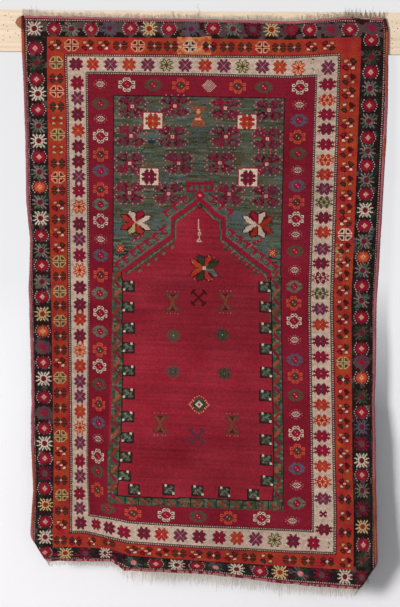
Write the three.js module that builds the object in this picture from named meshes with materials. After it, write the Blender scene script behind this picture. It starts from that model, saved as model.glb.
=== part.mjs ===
import * as THREE from "three";

// An antique knotted-pile prayer rug hanging face-on from a plain wooden wall board.
// X runs to the viewer's right and Z up. The viewer looks along +Y, and y = 0 is the wall plane,
// which carries the back of the board. The origin is the centre of the board's back face.

// Driving dimensions, in millimetres.
const BOARD_LENGTH = 1300;
const BOARD_HEIGHT = 128;
const BOARD_THICKNESS = 20;

const PILE_THICKNESS = 6;
const SELVEDGE_WIDTH = 10;
const SELVEDGE_THICKNESS = 8;
const KILIM_HEIGHT = 9;
const KILIM_THICKNESS = 3;
const PIECE_GAP = 1.2;

// The rug leans away from the board: this much air at its top edge, and this much more per millimetre down.
const TOP_CLEARANCE = 0.8;
const LEAN = 0.016;
const LENGTH_NOMINAL = 1690;

// The lower corners are turned back behind the rug on a soft bend of this radius.
const BEND_RADIUS = 9;
const CORNER_ROW_HEIGHT = 8.2;
const CORNER_CELLS = 14;
const LEAST_CELL = 0.33;

const FRINGE_LENGTH_TOP = 20;
const FRINGE_LENGTH_HEM = 27;
const STRAND_WIDTH_TOP = 6.5;
const STRAND_WIDTH_HEM = 3.8;
const STRAND_LEAN = 4;
const STRAND_UNEVEN = 0.25;
const WANDER_RATE = 12.9898;
const WANDER_SCALE = 43758.5453;
const CORD_SIDES = 8;
const MIDDLE_COLUMNS = 15;
const MIDDLE_ROWS = 30;

// The two long sides: how far below the top edge, and the outer faces of the selvedges.
const SIDES = [
  { drop: 0, left: -561, right: 553 },
  { drop: 35, left: -561, right: 561 },
  { drop: 100, left: -560, right: 561 },
  { drop: 250, left: -551, right: 560 },
  { drop: 360, left: -547, right: 556 },
  { drop: 450, left: -544, right: 551 },
  { drop: 575, left: -541, right: 545 },
  { drop: 690, left: -528, right: 539 },
  { drop: 850, left: -531, right: 530 },
  { drop: 1010, left: -524, right: 529 },
  { drop: 1140, left: -520, right: 526 },
  { drop: 1320, left: -519, right: 530 },
  { drop: 1470, left: -512, right: 535 },
  { drop: 1590, left: -518, right: 538 },
  { drop: 1690, left: -518, right: 541 },
];

// The two ends: place across the rug, and the heights of the top edge and of the hem there.
const ENDS = [
  { across: -561, top: 45, hem: -1621 },
  { across: -267, top: 41, hem: -1621 },
  { across: -232, top: 41, hem: -1648 },
  { across: -1, top: 38, hem: -1654 },
  { across: 273, top: 34, hem: -1685 },
  { across: 340, top: 40, hem: -1690 },
  { across: 425, top: 50, hem: -1695 },
  { across: 561, top: 46, hem: -1701 },
];

// Where each fold line of a turned corner meets the side and the hem, measured from the flat corner.
const CORNER_FOLDS = [
  { side: "left", alongHem: 51, alongSide: 82 },
  { side: "right", alongHem: 61, alongSide: 91 },
];

// Soft upright waves of the hanging cloth: centre, half width, and rise to the viewer at the hem.
const WAVES = [
  { across: -505, reach: 120, rise: 5 },
  { across: -300, reach: 190, rise: -7 },
  { across: -60, reach: 210, rise: 6 },
  { across: 210, reach: 190, rise: -5 },
  { across: 500, reach: 170, rise: 11 },
];

// Short ripples of the two free sides: height of the centre, half length, and rise to the viewer.
const RIPPLES = [
  { side: "left", height: -640, reach: 130, rise: -6 },
  { side: "left", height: -900, reach: 140, rise: 5 },
  { side: "left", height: -1390, reach: 110, rise: -6 },
  { side: "right", height: -420, reach: 120, rise: 5 },
  { side: "right", height: -860, reach: 150, rise: -6 },
  { side: "right", height: -1250, reach: 170, rise: 7 },
];
const RIPPLE_DEPTH = 150;
const WAVES_BEGIN = 120;
const WAVES_FULL = 1000;

// The top of the left selvedge has come loose and stands out sideways as a small flap.
const FLAP = { height: 10, reach: 23, width: 15, drops: [22, 35, 48] };

const lerp = THREE.MathUtils.lerp;
const smoothstep = THREE.MathUtils.smoothstep;

function readTable(table, key, column, value) {
  let row = 1;
  while (row < table.length - 1 && table[row][key] < value) {
    row += 1;
  }
  const before = table[row - 1];
  const after = table[row];
  const share = THREE.MathUtils.clamp((value - before[key]) / (after[key] - before[key]), 0, 1);
  return lerp(before[column], after[column], share);
}

function bump(offset, reach) {
  const share = Math.min(1, Math.abs(offset) / reach);
  return 0.5 * (1 + Math.cos(Math.PI * share));
}

// A grid line of the cloth: a share of the way from the first edge to the second, plus a shift.
function gridLine(share, shift) {
  return { share, shift };
}

// The flat layout of the cloth, before its corners are turned back.
function flatPoint(column, row) {
  const drop = row.share * LENGTH_NOMINAL - row.shift;
  const left = readTable(SIDES, "drop", "left", drop);
  const right = readTable(SIDES, "drop", "right", drop);
  const x = lerp(left, right, column.share) + column.shift;
  const top = readTable(ENDS, "across", "top", x);
  const hem = readTable(ENDS, "across", "hem", x);
  return { x, z: lerp(top, hem, row.share) + row.shift };
}

// Distance from the wall to the middle of the cloth's thickness.
function standOff(x, z) {
  const drop = ENDS[0].top - z;
  const loose = smoothstep(drop, WAVES_BEGIN, WAVES_FULL);
  let depth = BOARD_THICKNESS + TOP_CLEARANCE + PILE_THICKNESS / 2 + LEAN * Math.max(0, drop);
  for (const wave of WAVES) {
    depth += wave.rise * loose * bump(x - wave.across, wave.reach);
  }
  for (const ripple of RIPPLES) {
    const inward = Math.abs(x - readTable(SIDES, "drop", ripple.side, drop));
    depth += ripple.rise * bump(inward, RIPPLE_DEPTH) * bump(z - ripple.height, ripple.reach);
  }
  return depth;
}

// A fold line of a turned corner as a point, and the unit direction that leads out over it.
function foldLine(fold) {
  const hemRow = SIDES[SIDES.length - 1];
  const cornerX = hemRow[fold.side];
  const cornerZ = readTable(ENDS, "across", "hem", cornerX);
  const outward = fold.side === "left" ? -1 : 1;
  const span = Math.hypot(fold.alongHem, fold.alongSide);
  return {
    x: cornerX,
    z: cornerZ + fold.alongSide,
    outX: (outward * fold.alongSide) / span,
    outZ: -fold.alongHem / span,
  };
}

const FOLD_LINES = CORNER_FOLDS.map(foldLine);

// Hangs a flat point: the corners turn back behind the rug, and lift is the height over the cloth's middle.
function hang(flat, lift) {
  let { x, z } = flat;
  let back = 0;
  let facing = 1;
  for (const line of FOLD_LINES) {
    const beyond = (x - line.x) * line.outX + (z - line.z) * line.outZ;
    const arc = beyond + BEND_RADIUS;
    if (arc > 0) {
      const angle = Math.min(Math.PI, arc / BEND_RADIUS);
      const straight = Math.max(0, arc - Math.PI * BEND_RADIUS);
      const reached = BEND_RADIUS * Math.sin(angle) - straight - BEND_RADIUS;
      const moved = reached - beyond + lift * Math.sin(angle);
      x += moved * line.outX;
      z += moved * line.outZ;
      back = BEND_RADIUS * (1 - Math.cos(angle));
      facing = Math.cos(angle);
    }
  }
  return new THREE.Vector3(x, -(standOff(x, z) - back + lift * facing), z);
}

function meshFrom(name, body, color) {
  const coordinates = body.positions.flatMap((point) => point.toArray());
  const geometry = new THREE.BufferGeometry();
  geometry.setAttribute("position", new THREE.Float32BufferAttribute(coordinates, 3));
  geometry.setIndex(body.indices);
  geometry.computeVertexNormals();
  const material = new THREE.MeshStandardMaterial({ color, roughness: 0.95, metalness: 0 });
  const mesh = new THREE.Mesh(geometry, material);
  mesh.name = name;
  return mesh;
}

// Column width beside a turned corner, so that the cells' diagonals run parallel to its fold line.
function cornerColumnWidth(fold) {
  return (CORNER_ROW_HEIGHT * fold.alongHem) / fold.alongSide;
}

const INSET_SIDE = SELVEDGE_WIDTH + PIECE_GAP;
const INSET_END = KILIM_HEIGHT + PIECE_GAP;

// Distances of one corner's grid lines from the outer edge, starting at the edge of the pile itself.
function cornerDistances(inset, step) {
  const distances = [inset];
  for (let cell = 1; cell < CORNER_CELLS; cell += 1) {
    if (cell * step > inset + step * LEAST_CELL) {
      distances.push(cell * step);
    }
  }
  return distances;
}

// Columns from the inner face of one selvedge to the inner face of the other.
function pileColumns() {
  const [leftStep, rightStep] = CORNER_FOLDS.map(cornerColumnWidth);
  const middle = [];
  for (let cell = 0; cell <= MIDDLE_COLUMNS; cell += 1) {
    const share = cell / MIDDLE_COLUMNS;
    middle.push(gridLine(share, CORNER_CELLS * lerp(leftStep, -rightStep, share)));
  }
  const left = cornerDistances(INSET_SIDE, leftStep).map((distance) => gridLine(0, distance));
  const right = cornerDistances(INSET_SIDE, rightStep).map((distance) => gridLine(1, -distance));
  return [...left, ...middle, ...right.reverse()];
}

// Rows of the pile from the top down, with the short rows of the turned corners last.
function pileRows() {
  const rows = [gridLine(0, -INSET_END)];
  for (let cell = 1; cell <= MIDDLE_ROWS; cell += 1) {
    const share = cell / MIDDLE_ROWS;
    rows.push(gridLine(share, CORNER_CELLS * CORNER_ROW_HEIGHT * share));
  }
  const low = cornerDistances(INSET_END, CORNER_ROW_HEIGHT).map((distance) => gridLine(1, distance));
  return [...rows, ...low.reverse()];
}

const COLUMNS = pileColumns();
const ROWS = pileRows();

// The flat points where the given columns and rows cross.
function flatNet(columns, rows) {
  return rows.map((row) => columns.map((column) => flatPoint(column, row)));
}

// Splits each cell of a net along its row into an even number of cells of about the given width.
function splitCells(net, width) {
  const counts = net[0].slice(1).map((point, cell) => {
    return Math.max(1, 2 * Math.round((point.x - net[0][cell].x) / (2 * width)));
  });
  return net.map((row) => {
    const split = [row[0]];
    counts.forEach((count, cell) => {
      for (let part = 1; part <= count; part += 1) {
        const share = part / count;
        const x = lerp(row[cell].x, row[cell + 1].x, share);
        const z = lerp(row[cell].z, row[cell + 1].z, share);
        split.push({ x, z });
      }
    });
    return split;
  });
}

// A sheet of even thickness over a net of flat points, closed by a rim on its four sides.
// Where strandTip gives a point, that cell of the rim is drawn out to it.
function clothSheet(net, thickness, strandTip) {
  const positions = [];
  const indices = [];
  const across = net[0].length;
  for (const lift of [thickness / 2, -thickness / 2]) {
    for (const row of net) {
      for (const flat of row) {
        positions.push(hang(flat, lift));
      }
    }
  }
  const front = ([column, row]) => row * across + column;
  const back = (place) => across * net.length + front(place);
  const quad = (a, b, c, d) => indices.push(a, b, c, a, c, d);
  const rim = (a, b, tip) => {
    const corners = [front(a), back(a), back(b), front(b)];
    if (!tip) {
      quad(...corners);
      return;
    }
    const point = positions.push(tip) - 1;
    corners.forEach((corner, side) => indices.push(corner, corners[(side + 1) % 4], point));
  };
  const lastColumn = across - 1;
  const lastRow = net.length - 1;
  for (let row = 0; row < lastRow; row += 1) {
    for (let column = 0; column < lastColumn; column += 1) {
      const ring = [[column, row], [column, row + 1], [column + 1, row + 1], [column + 1, row]];
      if (column > across / 2) {
        ring.push(ring.shift());
      }
      quad(...ring.map(front));
      quad(...[ring[0], ring[3], ring[2], ring[1]].map(back));
    }
    rim([0, row], [0, row + 1], null);
    rim([lastColumn, row + 1], [lastColumn, row], null);
  }
  for (let column = 0; column < lastColumn; column += 1) {
    rim([column + 1, 0], [column, 0], strandTip("top", column));
    rim([column, lastRow], [column + 1, lastRow], strandTip("hem", column));
  }
  return { positions, indices };
}

function noStrand() {
  return null;
}

// A wandering value between -1 and 1 that gives each strand its own lean and length.
function wander(index) {
  const turn = Math.sin(index * WANDER_RATE) * WANDER_SCALE;
  return 2 * (turn - Math.floor(turn)) - 1;
}

// A flatwoven end strip whose every other rim cell is drawn out into a strand of the warp fringe.
function fringedEnd(end, width, length) {
  const strip = end === "top"
    ? [gridLine(0, 0), gridLine(0, -KILIM_HEIGHT)]
    : [gridLine(1, KILIM_HEIGHT), gridLine(1, 0)];
  const net = splitCells(flatNet(COLUMNS, strip), width);
  const outward = end === "top" ? 1 : -1;
  const edge = end === "top" ? net[0] : net[1];
  const across = edge.length;
  const strandTip = (side, column) => {
    if (side !== end || column % 2 === 1) {
      return null;
    }
    const [a, b] = [edge[column], edge[column + 1]];
    const reach = length * (1 + STRAND_UNEVEN * wander(column + across));
    const lean = STRAND_LEAN * wander(column);
    return hang({ x: (a.x + b.x) / 2 + lean, z: (a.z + b.z) / 2 + outward * reach }, 0);
  };
  return clothSheet(net, KILIM_THICKNESS, strandTip);
}

// The overcast edge: an oval cord along one side, which turns back with the corner below.
function selvedge(side) {
  const inward = side === "left" ? 1 : -1;
  const share = side === "left" ? 0 : 1;
  const flapRows = side === "left" ? FLAP.drops.map((drop) => gridLine(0, -drop)) : [];
  const [first, ...others] = ROWS;
  const rows = [gridLine(0, 0), first, ...flapRows, ...others, gridLine(1, 0)];
  const positions = [];
  const indices = [];
  for (const row of rows) {
    for (let corner = 0; corner < CORD_SIDES; corner += 1) {
      const angle = (2 * Math.PI * (corner + 0.5)) / CORD_SIDES;
      const across = Math.cos(angle) / Math.cos(Math.PI / CORD_SIDES);
      const flat = flatPoint(gridLine(share, (inward * SELVEDGE_WIDTH * (1 - across)) / 2), row);
      if (side === "left" && across > 0) {
        flat.x -= FLAP.width * bump(flat.z - FLAP.height, FLAP.reach);
      }
      positions.push(hang(flat, (SELVEDGE_THICKNESS / 2) * Math.sin(angle)));
    }
  }
  const at = (row, corner) => row * CORD_SIDES + (corner % CORD_SIDES);
  const face = (a, b, c) => (side === "left" ? indices.push(a, b, c) : indices.push(a, c, b));
  const lastRow = rows.length - 1;
  for (let corner = 0; corner < CORD_SIDES; corner += 1) {
    for (let row = 0; row < lastRow; row += 1) {
      face(at(row, corner), at(row + 1, corner), at(row + 1, corner + 1));
      face(at(row, corner), at(row + 1, corner + 1), at(row, corner + 1));
    }
  }
  for (let corner = 1; corner < CORD_SIDES - 1; corner += 1) {
    face(at(0, 0), at(0, corner), at(0, corner + 1));
    face(at(lastRow, 0), at(lastRow, corner + 1), at(lastRow, corner));
  }
  return { positions, indices };
}

const rug = new THREE.Group();

const board = new THREE.Mesh(
  new THREE.BoxGeometry(BOARD_LENGTH, BOARD_THICKNESS, BOARD_HEIGHT),
  new THREE.MeshStandardMaterial({ color: 0xebdcc3, roughness: 0.8, metalness: 0 }),
);
board.name = "wall_board";
board.position.y = -BOARD_THICKNESS / 2;
rug.add(board);

const pile = clothSheet(flatNet(COLUMNS, ROWS), PILE_THICKNESS, noStrand);
const topEnd = fringedEnd("top", STRAND_WIDTH_TOP, FRINGE_LENGTH_TOP);
const hemEnd = fringedEnd("hem", STRAND_WIDTH_HEM, FRINGE_LENGTH_HEM);
const PIECES = [
  { name: "pile_carpet", body: pile, color: 0x912232 },
  { name: "selvedge_left", body: selvedge("left"), color: 0x96505a },
  { name: "selvedge_right", body: selvedge("right"), color: 0xa0463c },
  { name: "fringed_end_top", body: topEnd, color: 0xa55564 },
  { name: "fringed_end_hem", body: hemEnd, color: 0xbeaf96 },
];
for (const { name, body, color } of PIECES) {
  rug.add(meshFrom(name, body, color));
}

export default rug;
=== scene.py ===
"""An antique knotted-pile prayer rug that hangs from a plain wooden wall board."""

import math

import bpy
import numpy as np
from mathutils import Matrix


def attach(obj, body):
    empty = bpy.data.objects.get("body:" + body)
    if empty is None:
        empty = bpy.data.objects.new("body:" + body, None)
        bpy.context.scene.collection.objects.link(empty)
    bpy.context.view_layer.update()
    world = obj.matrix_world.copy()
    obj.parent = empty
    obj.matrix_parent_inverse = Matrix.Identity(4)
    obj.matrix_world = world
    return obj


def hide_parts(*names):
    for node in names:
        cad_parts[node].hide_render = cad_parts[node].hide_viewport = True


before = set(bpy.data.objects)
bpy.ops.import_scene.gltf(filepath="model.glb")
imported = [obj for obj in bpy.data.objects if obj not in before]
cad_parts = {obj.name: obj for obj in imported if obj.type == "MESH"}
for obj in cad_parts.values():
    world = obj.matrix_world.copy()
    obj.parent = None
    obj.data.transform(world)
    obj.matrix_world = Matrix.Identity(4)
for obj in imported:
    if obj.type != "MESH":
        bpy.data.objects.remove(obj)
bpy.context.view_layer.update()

bl_info = {
    "name": "Hanging prayer rug",
    "version": (1, 0, 0),
    "blender": (4, 5, 0),
    "location": "View3D > Sidebar > Rug",
    "description": "Weaves a knotted prayer rug on its wall board",
    "category": "Object",
}

MM = 0.001
BODY = "root"
SEED = 41

# ---------------------------------------------------------------- the cloth as it hangs
# All of these are millimetres, and say what the model's source says.

BOARD_THICKNESS = 20
PILE_THICKNESS = 6
SELVEDGE_WIDTH = 10
SELVEDGE_THICKNESS = 8
TOP_CLEARANCE = 0.8
LEAN = 0.016
LENGTH_NOMINAL = 1690
BEND_RADIUS = 9

# How far below the top edge, and the outer faces of the left and right selvedges.
SIDES = np.array(
    [
        (0, -561, 553), (35, -561, 561), (100, -560, 561), (250, -551, 560), (360, -547, 556),
        (450, -544, 551), (575, -541, 545), (690, -528, 539), (850, -531, 530), (1010, -524, 529),
        (1140, -520, 526), (1320, -519, 530), (1470, -512, 535), (1590, -518, 538), (1690, -518, 541),
    ],
    float,
)
# Place across the rug, and the heights of the top edge and of the hem there.
ENDS = np.array(
    [
        (-561, 45, -1621), (-267, 41, -1621), (-232, 41, -1648), (-1, 38, -1654),
        (273, 34, -1685), (340, 40, -1690), (425, 50, -1695), (561, 46, -1701),
    ],
    float,
)
# Each turned corner: the side's column, its outward sign, and its reach along the hem and up the side.
CORNER_FOLDS = ((1, -1, 51, 82), (2, 1, 61, 91))
# Upright waves: centre, half width and rise to the viewer at the hem.
WAVES = ((-505, 120, 5), (-300, 190, -7), (-60, 210, 6), (210, 190, -5), (500, 170, 11))
WAVES_BEGIN, WAVES_FULL = 120, 1000
# Short ripples of the free sides: the side's column, height, half length and rise.
RIPPLES = (
    (1, -640, 130, -6), (1, -900, 140, 5), (1, -1390, 110, -6),
    (2, -420, 120, 5), (2, -860, 150, -6), (2, -1250, 170, 7),
)
RIPPLE_DEPTH = 150


def bump(offset, reach):
    return 0.5 * (1 + np.cos(np.pi * np.minimum(1, np.abs(offset) / reach)))


def side_at(column, drop):
    return np.interp(drop, SIDES[:, 0], SIDES[:, column])


def end_at(column, across):
    return np.interp(across, ENDS[:, 0], ENDS[:, column])


def stand_off(x, z):
    """Distance from the wall to the middle of the cloth."""
    drop = ENDS[0, 1] - z
    share = np.clip((drop - WAVES_BEGIN) / (WAVES_FULL - WAVES_BEGIN), 0, 1)
    loose = share * share * (3 - 2 * share)
    depth = BOARD_THICKNESS + TOP_CLEARANCE + PILE_THICKNESS / 2 + LEAN * np.maximum(0, drop)
    for across, reach, rise in WAVES:
        depth = depth + rise * loose * bump(x - across, reach)
    for column, height, reach, rise in RIPPLES:
        inward = np.abs(x - side_at(column, drop))
        depth = depth + rise * bump(inward, RIPPLE_DEPTH) * bump(z - height, reach)
    return depth


def fold_lines():
    """Each corner's fold as a point on it and the unit direction that leads out over it."""
    lines = []
    for column, outward, along_hem, along_side in CORNER_FOLDS:
        corner = SIDES[-1, column]
        span = math.hypot(along_hem, along_side)
        height = end_at(2, corner) + along_side
        lines.append((corner, height, outward * along_side / span, -along_hem / span))
    return lines


def hang(x, z, lift):
    """Flat places in millimetres as hung points in metres. lift is the height over the cloth's middle."""
    x, z, lift = (np.array(part, float) for part in np.broadcast_arrays(x, z, lift))
    back, facing = np.zeros_like(x), np.ones_like(x)
    for line_x, line_z, out_x, out_z in fold_lines():
        beyond = (x - line_x) * out_x + (z - line_z) * out_z
        arc = beyond + BEND_RADIUS
        turned = arc > 0
        angle = np.clip(arc / BEND_RADIUS, 0, math.pi)
        straight = np.maximum(0, arc - math.pi * BEND_RADIUS)
        reached = BEND_RADIUS * np.sin(angle) - straight - BEND_RADIUS
        moved = np.where(turned, reached - beyond + lift * np.sin(angle), 0)
        x, z = x + moved * out_x, z + moved * out_z
        back = np.where(turned, BEND_RADIUS * (1 - np.cos(angle)), back)
        facing = np.where(turned, np.cos(angle), facing)
    return np.stack([x, -(stand_off(x, z) - back + lift * facing), z], axis=-1) * MM


# ---------------------------------------------------------------- the weaver's lines

# A place in the picture becomes millimetres across the rug and above the board's middle.
PICTURE_SIZE = (400, 607)
PIXEL = 3.05
PICTURE_ROLL = 0.0085
PICTURE_ORIGIN = (205, 31.5)


def from_picture(x, y):
    right = np.asarray(x, float) - PICTURE_ORIGIN[0]
    down = np.asarray(y, float) - PICTURE_ORIGIN[1]
    return (right + down * PICTURE_ROLL) * PIXEL, (right * PICTURE_ROLL - down) * PIXEL


# Knots counted across and down, at each line between two bands of the design.
COLUMN_BREAKS = np.array([0, 3, 20, 36, 39, 55, 58, 82, 239, 266, 269, 287, 290, 307, 327, 330])
ROW_BREAKS = np.array([0, 2, 17, 32, 35, 48, 51, 69, 442, 459, 462, 477, 480, 493, 506, 508])
COLUMNS, ROWS = 330, 508
# The knots' usual spread in millimetres, which flat_place starts from, and how often it comes closer.
USUAL_WIDTH, USUAL_LENGTH = 1080, 1660
PLACE_ROUNDS = 5

# Where those lines run in the picture: upright ones at a few heights, level ones at a few places across.
UPRIGHT_LEFT = {
    60: (27.5, 46.8, 64, 67.3, 85.3, 88, 113),
    120: (29, 47.5, 66, 69, 86, 89, 113),
    300: (33.7, 51.6, 67.5, 71.2, 88, 90, 112.3),
    465: (36.5, 54.1, 69.7, 72.8, 86.6, 88.5, 107.7),
    510: (36.3, 53.3, 69.5, 72.6, 88.4, 90, 108.2),
}
UPRIGHT_RIGHT = {
    60: (286.3, 315.4, 318, 338, 341, 361, 383),
    300: (280.5, 307, 311, 329.7, 333.8, 351.2, 372.2),
    465: (283.3, 310, 313.2, 332.2, 335.5, 351.8, 371.5),
    510: (282, 311, 313.8, 333.2, 336.7, 353.3, 372),
}
LEVEL_TOP = {
    22: (20, 36, 53, 56, 71, 74.2, 94),
    100: (20.8, 37, 53.4, 56.5, 71.5, 74.7, 94.3),
    200: (22, 38, 54.4, 57.5, 73, 76.2, 96),
    290: (24, 39.6, 55.4, 58.5, 75.5, 78.7, 97.6),
    340: (21, 37.2, 52.4, 55.5, 73, 76.2, 97),
    385: (21.5, 37.2, 52.9, 56, 73, 76.2, 97),
}
LEVEL_HEM = {
    35: (495, 511, 514, 530, 533, 546, 557),
    85: (496, 512.4, 515.4, 530.2, 533.3, 546.7, 557.4),
    112: (502, 516.4, 519.5, 536.7, 539.8, 549, 558.6),
    130: (503.5, 520.1, 523.2, 540.5, 543.6, 555, 567),
    200: (506, 523.9, 527, 545, 548, 560, 569),
    290: (511, 527.9, 531, 550, 553, 566, 579.3),
    350: (513, 530.4, 533.5, 551.8, 554.9, 569, 583.3),
    378: (513, 530.9, 534, 552, 555, 570, 584.8),
}
PILE_INSET_SIDE = 10.2
PILE_INSET_TOP = 7
PILE_INSET_HEM = 10.2


def outer_side(column, inset, z):
    """The place across of a line that far in from one long side, at heights z."""
    share = np.linspace(0, 1, 120)
    across = side_at(column, share * LENGTH_NOMINAL)
    height = end_at(1, across) * (1 - share) + end_at(2, across) * share
    return np.interp(-z, -height, across) + inset


def upright_lines(z):
    """The place across of each upright line at heights z, last axis by line."""
    lines = [outer_side(1, PILE_INSET_SIDE, z)]
    for table in (UPRIGHT_LEFT, UPRIGHT_RIGHT):
        for at in zip(*table.values()):
            across, height = from_picture(at, list(table))
            lines.append(np.interp(-z, -height, across))
    lines.append(outer_side(2, -PILE_INSET_SIDE, z))
    return np.stack(lines, axis=-1)


def level_lines(x):
    """The height of each level line at places x across, last axis by line."""
    lines = [end_at(1, x) - PILE_INSET_TOP]
    for table in (LEVEL_TOP, LEVEL_HEM):
        for at in zip(*table.values()):
            across, height = from_picture(list(table), at)
            lines.append(np.interp(x, across, height))
    lines.append(end_at(2, x) + PILE_INSET_HEM)
    return np.stack(lines, axis=-1)


def between(lines, breaks, count):
    """The value at a knot count, between the two lines on its sides."""
    step = np.clip(np.searchsorted(breaks, count, side="right") - 1, 0, len(breaks) - 2)
    share = (count - breaks[step]) / (breaks[step + 1] - breaks[step])
    low = np.take_along_axis(lines, step[..., None], -1)[..., 0]
    high = np.take_along_axis(lines, step[..., None] + 1, -1)[..., 0]
    return low + (high - low) * share


def flat_place(column, row):
    """Knot counts, whole or not, as flat millimetres."""
    column, row = (np.array(part, float) for part in np.broadcast_arrays(column, row))
    x = (column / COLUMNS - 0.5) * USUAL_WIDTH
    z = -row / ROWS * USUAL_LENGTH
    for _ in range(PLACE_ROUNDS):
        x = between(upright_lines(z), COLUMN_BREAKS, column)
        z = between(level_lines(x), ROW_BREAKS, row)
    return x, z


def knot_at(x, y):
    """The column and row of the knot at a place in the picture."""
    across, height = from_picture(x, y)
    column = np.interp(across, upright_lines(height), COLUMN_BREAKS)
    row = np.interp(-height, -level_lines(across), ROW_BREAKS)
    return column, row


# ---------------------------------------------------------------- wools

WOOLS = {
    "crimson": (134, 31, 44),
    "border_red": (118, 21, 38),
    "orange": (152, 47, 34),
    "faded_orange": (146, 66, 42),
    "rust": (134, 40, 26),
    "ivory": (183, 160, 143),
    "rose_ivory": (176, 146, 130),
    "dusty_rose": (194, 138, 108),
    "brown_black": (32, 20, 18),
    "bottle_green": (28, 42, 32),
    "navy": (30, 24, 34),
    "ink": (34, 42, 52),
    "plum_black": (46, 20, 28),
    "plum": (78, 24, 40),
    "maroon": (100, 22, 40),
    "wine": (116, 22, 42),
    "mulberry": (84, 42, 58),
    "purple": (96, 40, 62),
    "ruby": (138, 16, 42),
    "pink": (206, 112, 116),
    "white": (192, 174, 154),
    "guard_white": (176, 152, 138),
    "green": (75, 75, 62),
    "frame_green": (70, 68, 52),
    "arch_red": (132, 20, 44),
    "teal": (50, 76, 66),
    "grey_green": (88, 92, 78),
    "slate_green": (76, 84, 84),
    "heather": (80, 62, 60),
    "olive": (74, 66, 50),
    "moss": (62, 54, 34),
    "khaki": (160, 146, 100),
    "peach": (208, 138, 98),
    "slate": (78, 74, 86),
    "oxblood": (70, 14, 18),
    "forest": (40, 56, 38),
    "mauve": (156, 84, 92),
    "sunset": (176, 72, 50),
    "brick": (150, 68, 48),
    "apricot": (188, 112, 66),
    "straw": (184, 154, 112),
    "ash": (120, 106, 98),
    "warp_white": (214, 202, 186),
    "warp_brown": (140, 118, 94),
    "worn_brown": (116, 56, 44),
    "kilim_rose": (168, 86, 96),
    "beige": (190, 172, 150),
    "tan": (166, 108, 72),
}
WOOL_NAMES = list(WOOLS)


def numbers_of(*names):
    """The numbers that stand for those wools in the knot plan."""
    return [WOOL_NAMES.index(name) for name in names]


def colour_property(name, rgb):
    return bpy.props.FloatVectorProperty(
        name=name.replace("_", " ").capitalize(),
        description=f"Colour of the {name.replace('_', ' ')} wool",
        subtype="COLOR_GAMMA",
        size=3,
        min=0,
        max=1,
        default=[part / 255 for part in rgb],
    )


class RUG_PG_wools(bpy.types.PropertyGroup):
    """The dyed wools of the rug."""

    __annotations__ = {name: colour_property(name, rgb) for name, rgb in WOOLS.items()}


def length_property(name, description, default, low, high):
    return bpy.props.FloatProperty(
        name=name, description=description, default=default, min=low, max=high, unit="LENGTH",
    )


class RUG_PG_sizes(bpy.types.PropertyGroup):
    """Sizes of the yarns and of the finish."""

    pile_relief: length_property("Pile relief", "How far worn pile lies below the full pile", 0.0006, 0, 0.003)
    wrap_pitch: length_property(
        "Wrap pitch", "Distance between two turns of the overcast selvedge yarn", 0.0023, 0.0015, 0.006,
    )
    warp_pitch: length_property("Warp pitch", "Distance between two warp ends of the fringe", 0.0016, 0.0012, 0.004)
    yarn_radius: length_property("Warp radius", "Radius of a warp end in the fringe", 0.00055, 0.0003, 0.0015)
    hem_fringe: length_property("Hem fringe", "Usual length of the warp ends below the hem", 0.028, 0.01, 0.05)
    top_fringe: length_property("Top fringe", "Usual length of the warp ends above the top edge", 0.019, 0.005, 0.03)


# ---------------------------------------------------------------- the knot plan

# Each of these drawings is one quarter of a motif: its first row and column are the motif's middle.
FLAKE = ("aaaw....", "aaawww..", "aaww.www", "wwww....", ".w.ww...", ".ww.ww..", "..w..w..")
RUBY_FLAKE = ("nppcccm.", "ppcccm.d", "pccccm..", "ccccm.d.", "cc.cm...", "c.m..d..", "m.......")
STAR = ("xmmmm..", "mvmmmm.", "mmvmmmm", "mmmvmm.", "mmmm...", ".mmm...", "..mm...")
LINED_STAR = ("xmmmm..", "mmvvmm.", "mvmvvvm", "mvvmmm.", "mmvm...", ".mvm...", "..mm...")
WIDE_STAR = ("xmmmmm...", "mvmmmmmm.", "mmvmmmmmm", "mmmmm.m..", ".mmmm....", "..mm.....")
WIDE_LINED_STAR = ("xmmmmm...", "mmvvmmmm.", "mvmmmvvmm", "mvmmm.m..", ".mmmm....", "..mm.....")
CROSS = ("mm...", "mmmm.", ".mmm.", "..m..")
NET_FLOWER = ("gg.....", "gkkkkkk", ".kggg.k", ".kgg.k.", ".kg.k..", ".kkk...")
SLANT_FLOWER = ("ccqqq..", "..qqqq.", ".qqppqq", ".qpppq.", ".qqqq..", "..q....")
DARK_FLOWER = ("cckkkk.", "cqqqqqq", ".qppppq", "..qppq.", "...qq..")
HOLLOW_ROSETTE = ("rr.......", "rpr..www.", "rr..wnnw.", "...w.www.", ".www.....", "wnnw.....", ".ww......")
SOLID_ROSETTE = ("rrr.ww...", "rpr.wwwww", ".r.wwwww.", "..wwwww..", "wwwww....", ".www.....")
LATTICE = ("kwkkw..", "wkww..d", "www....", "....d..", ".d.....")
THIN_LATTICE = ("p.w.w.w.", ".w.w.w..", "w.w.w...", ".w.w....", "w.w.....", ".w......")
SPRAY = (
    "nwrrr..........", "wwrrrm......m..", "rrrraaamm.m.d..", ".rreaaaaamm....", "..maarbbraamm.d", ".maaarebbraam..",
    ".maarbbbbbrm...", "m.raarbbbrm.d..", "..mraarebm.....", "...m.mm.r......", "...d....d......",
)
BIG_STAR = ("kmmmm...", "mmmmmmm.", "mmvmmmmm", "mmmvmmm.", "mmmmm...", ".mmmm...", ".mmm....", "..q.....")
X_MARK = (
    "xx.......", "xxx......", ".xxx.....", "..xxx..x.", "...xxxxx.", "....xxxx.", "....xxx..", "...xxx...",
)
HOURGLASS = (
    "oo.....", "oo.....", "oof....", "ooof...", "rooof..", "roooof.", "rroooof", "frrofof", "f.f.f.f", ".......",
    "..p..p.",
)
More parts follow.
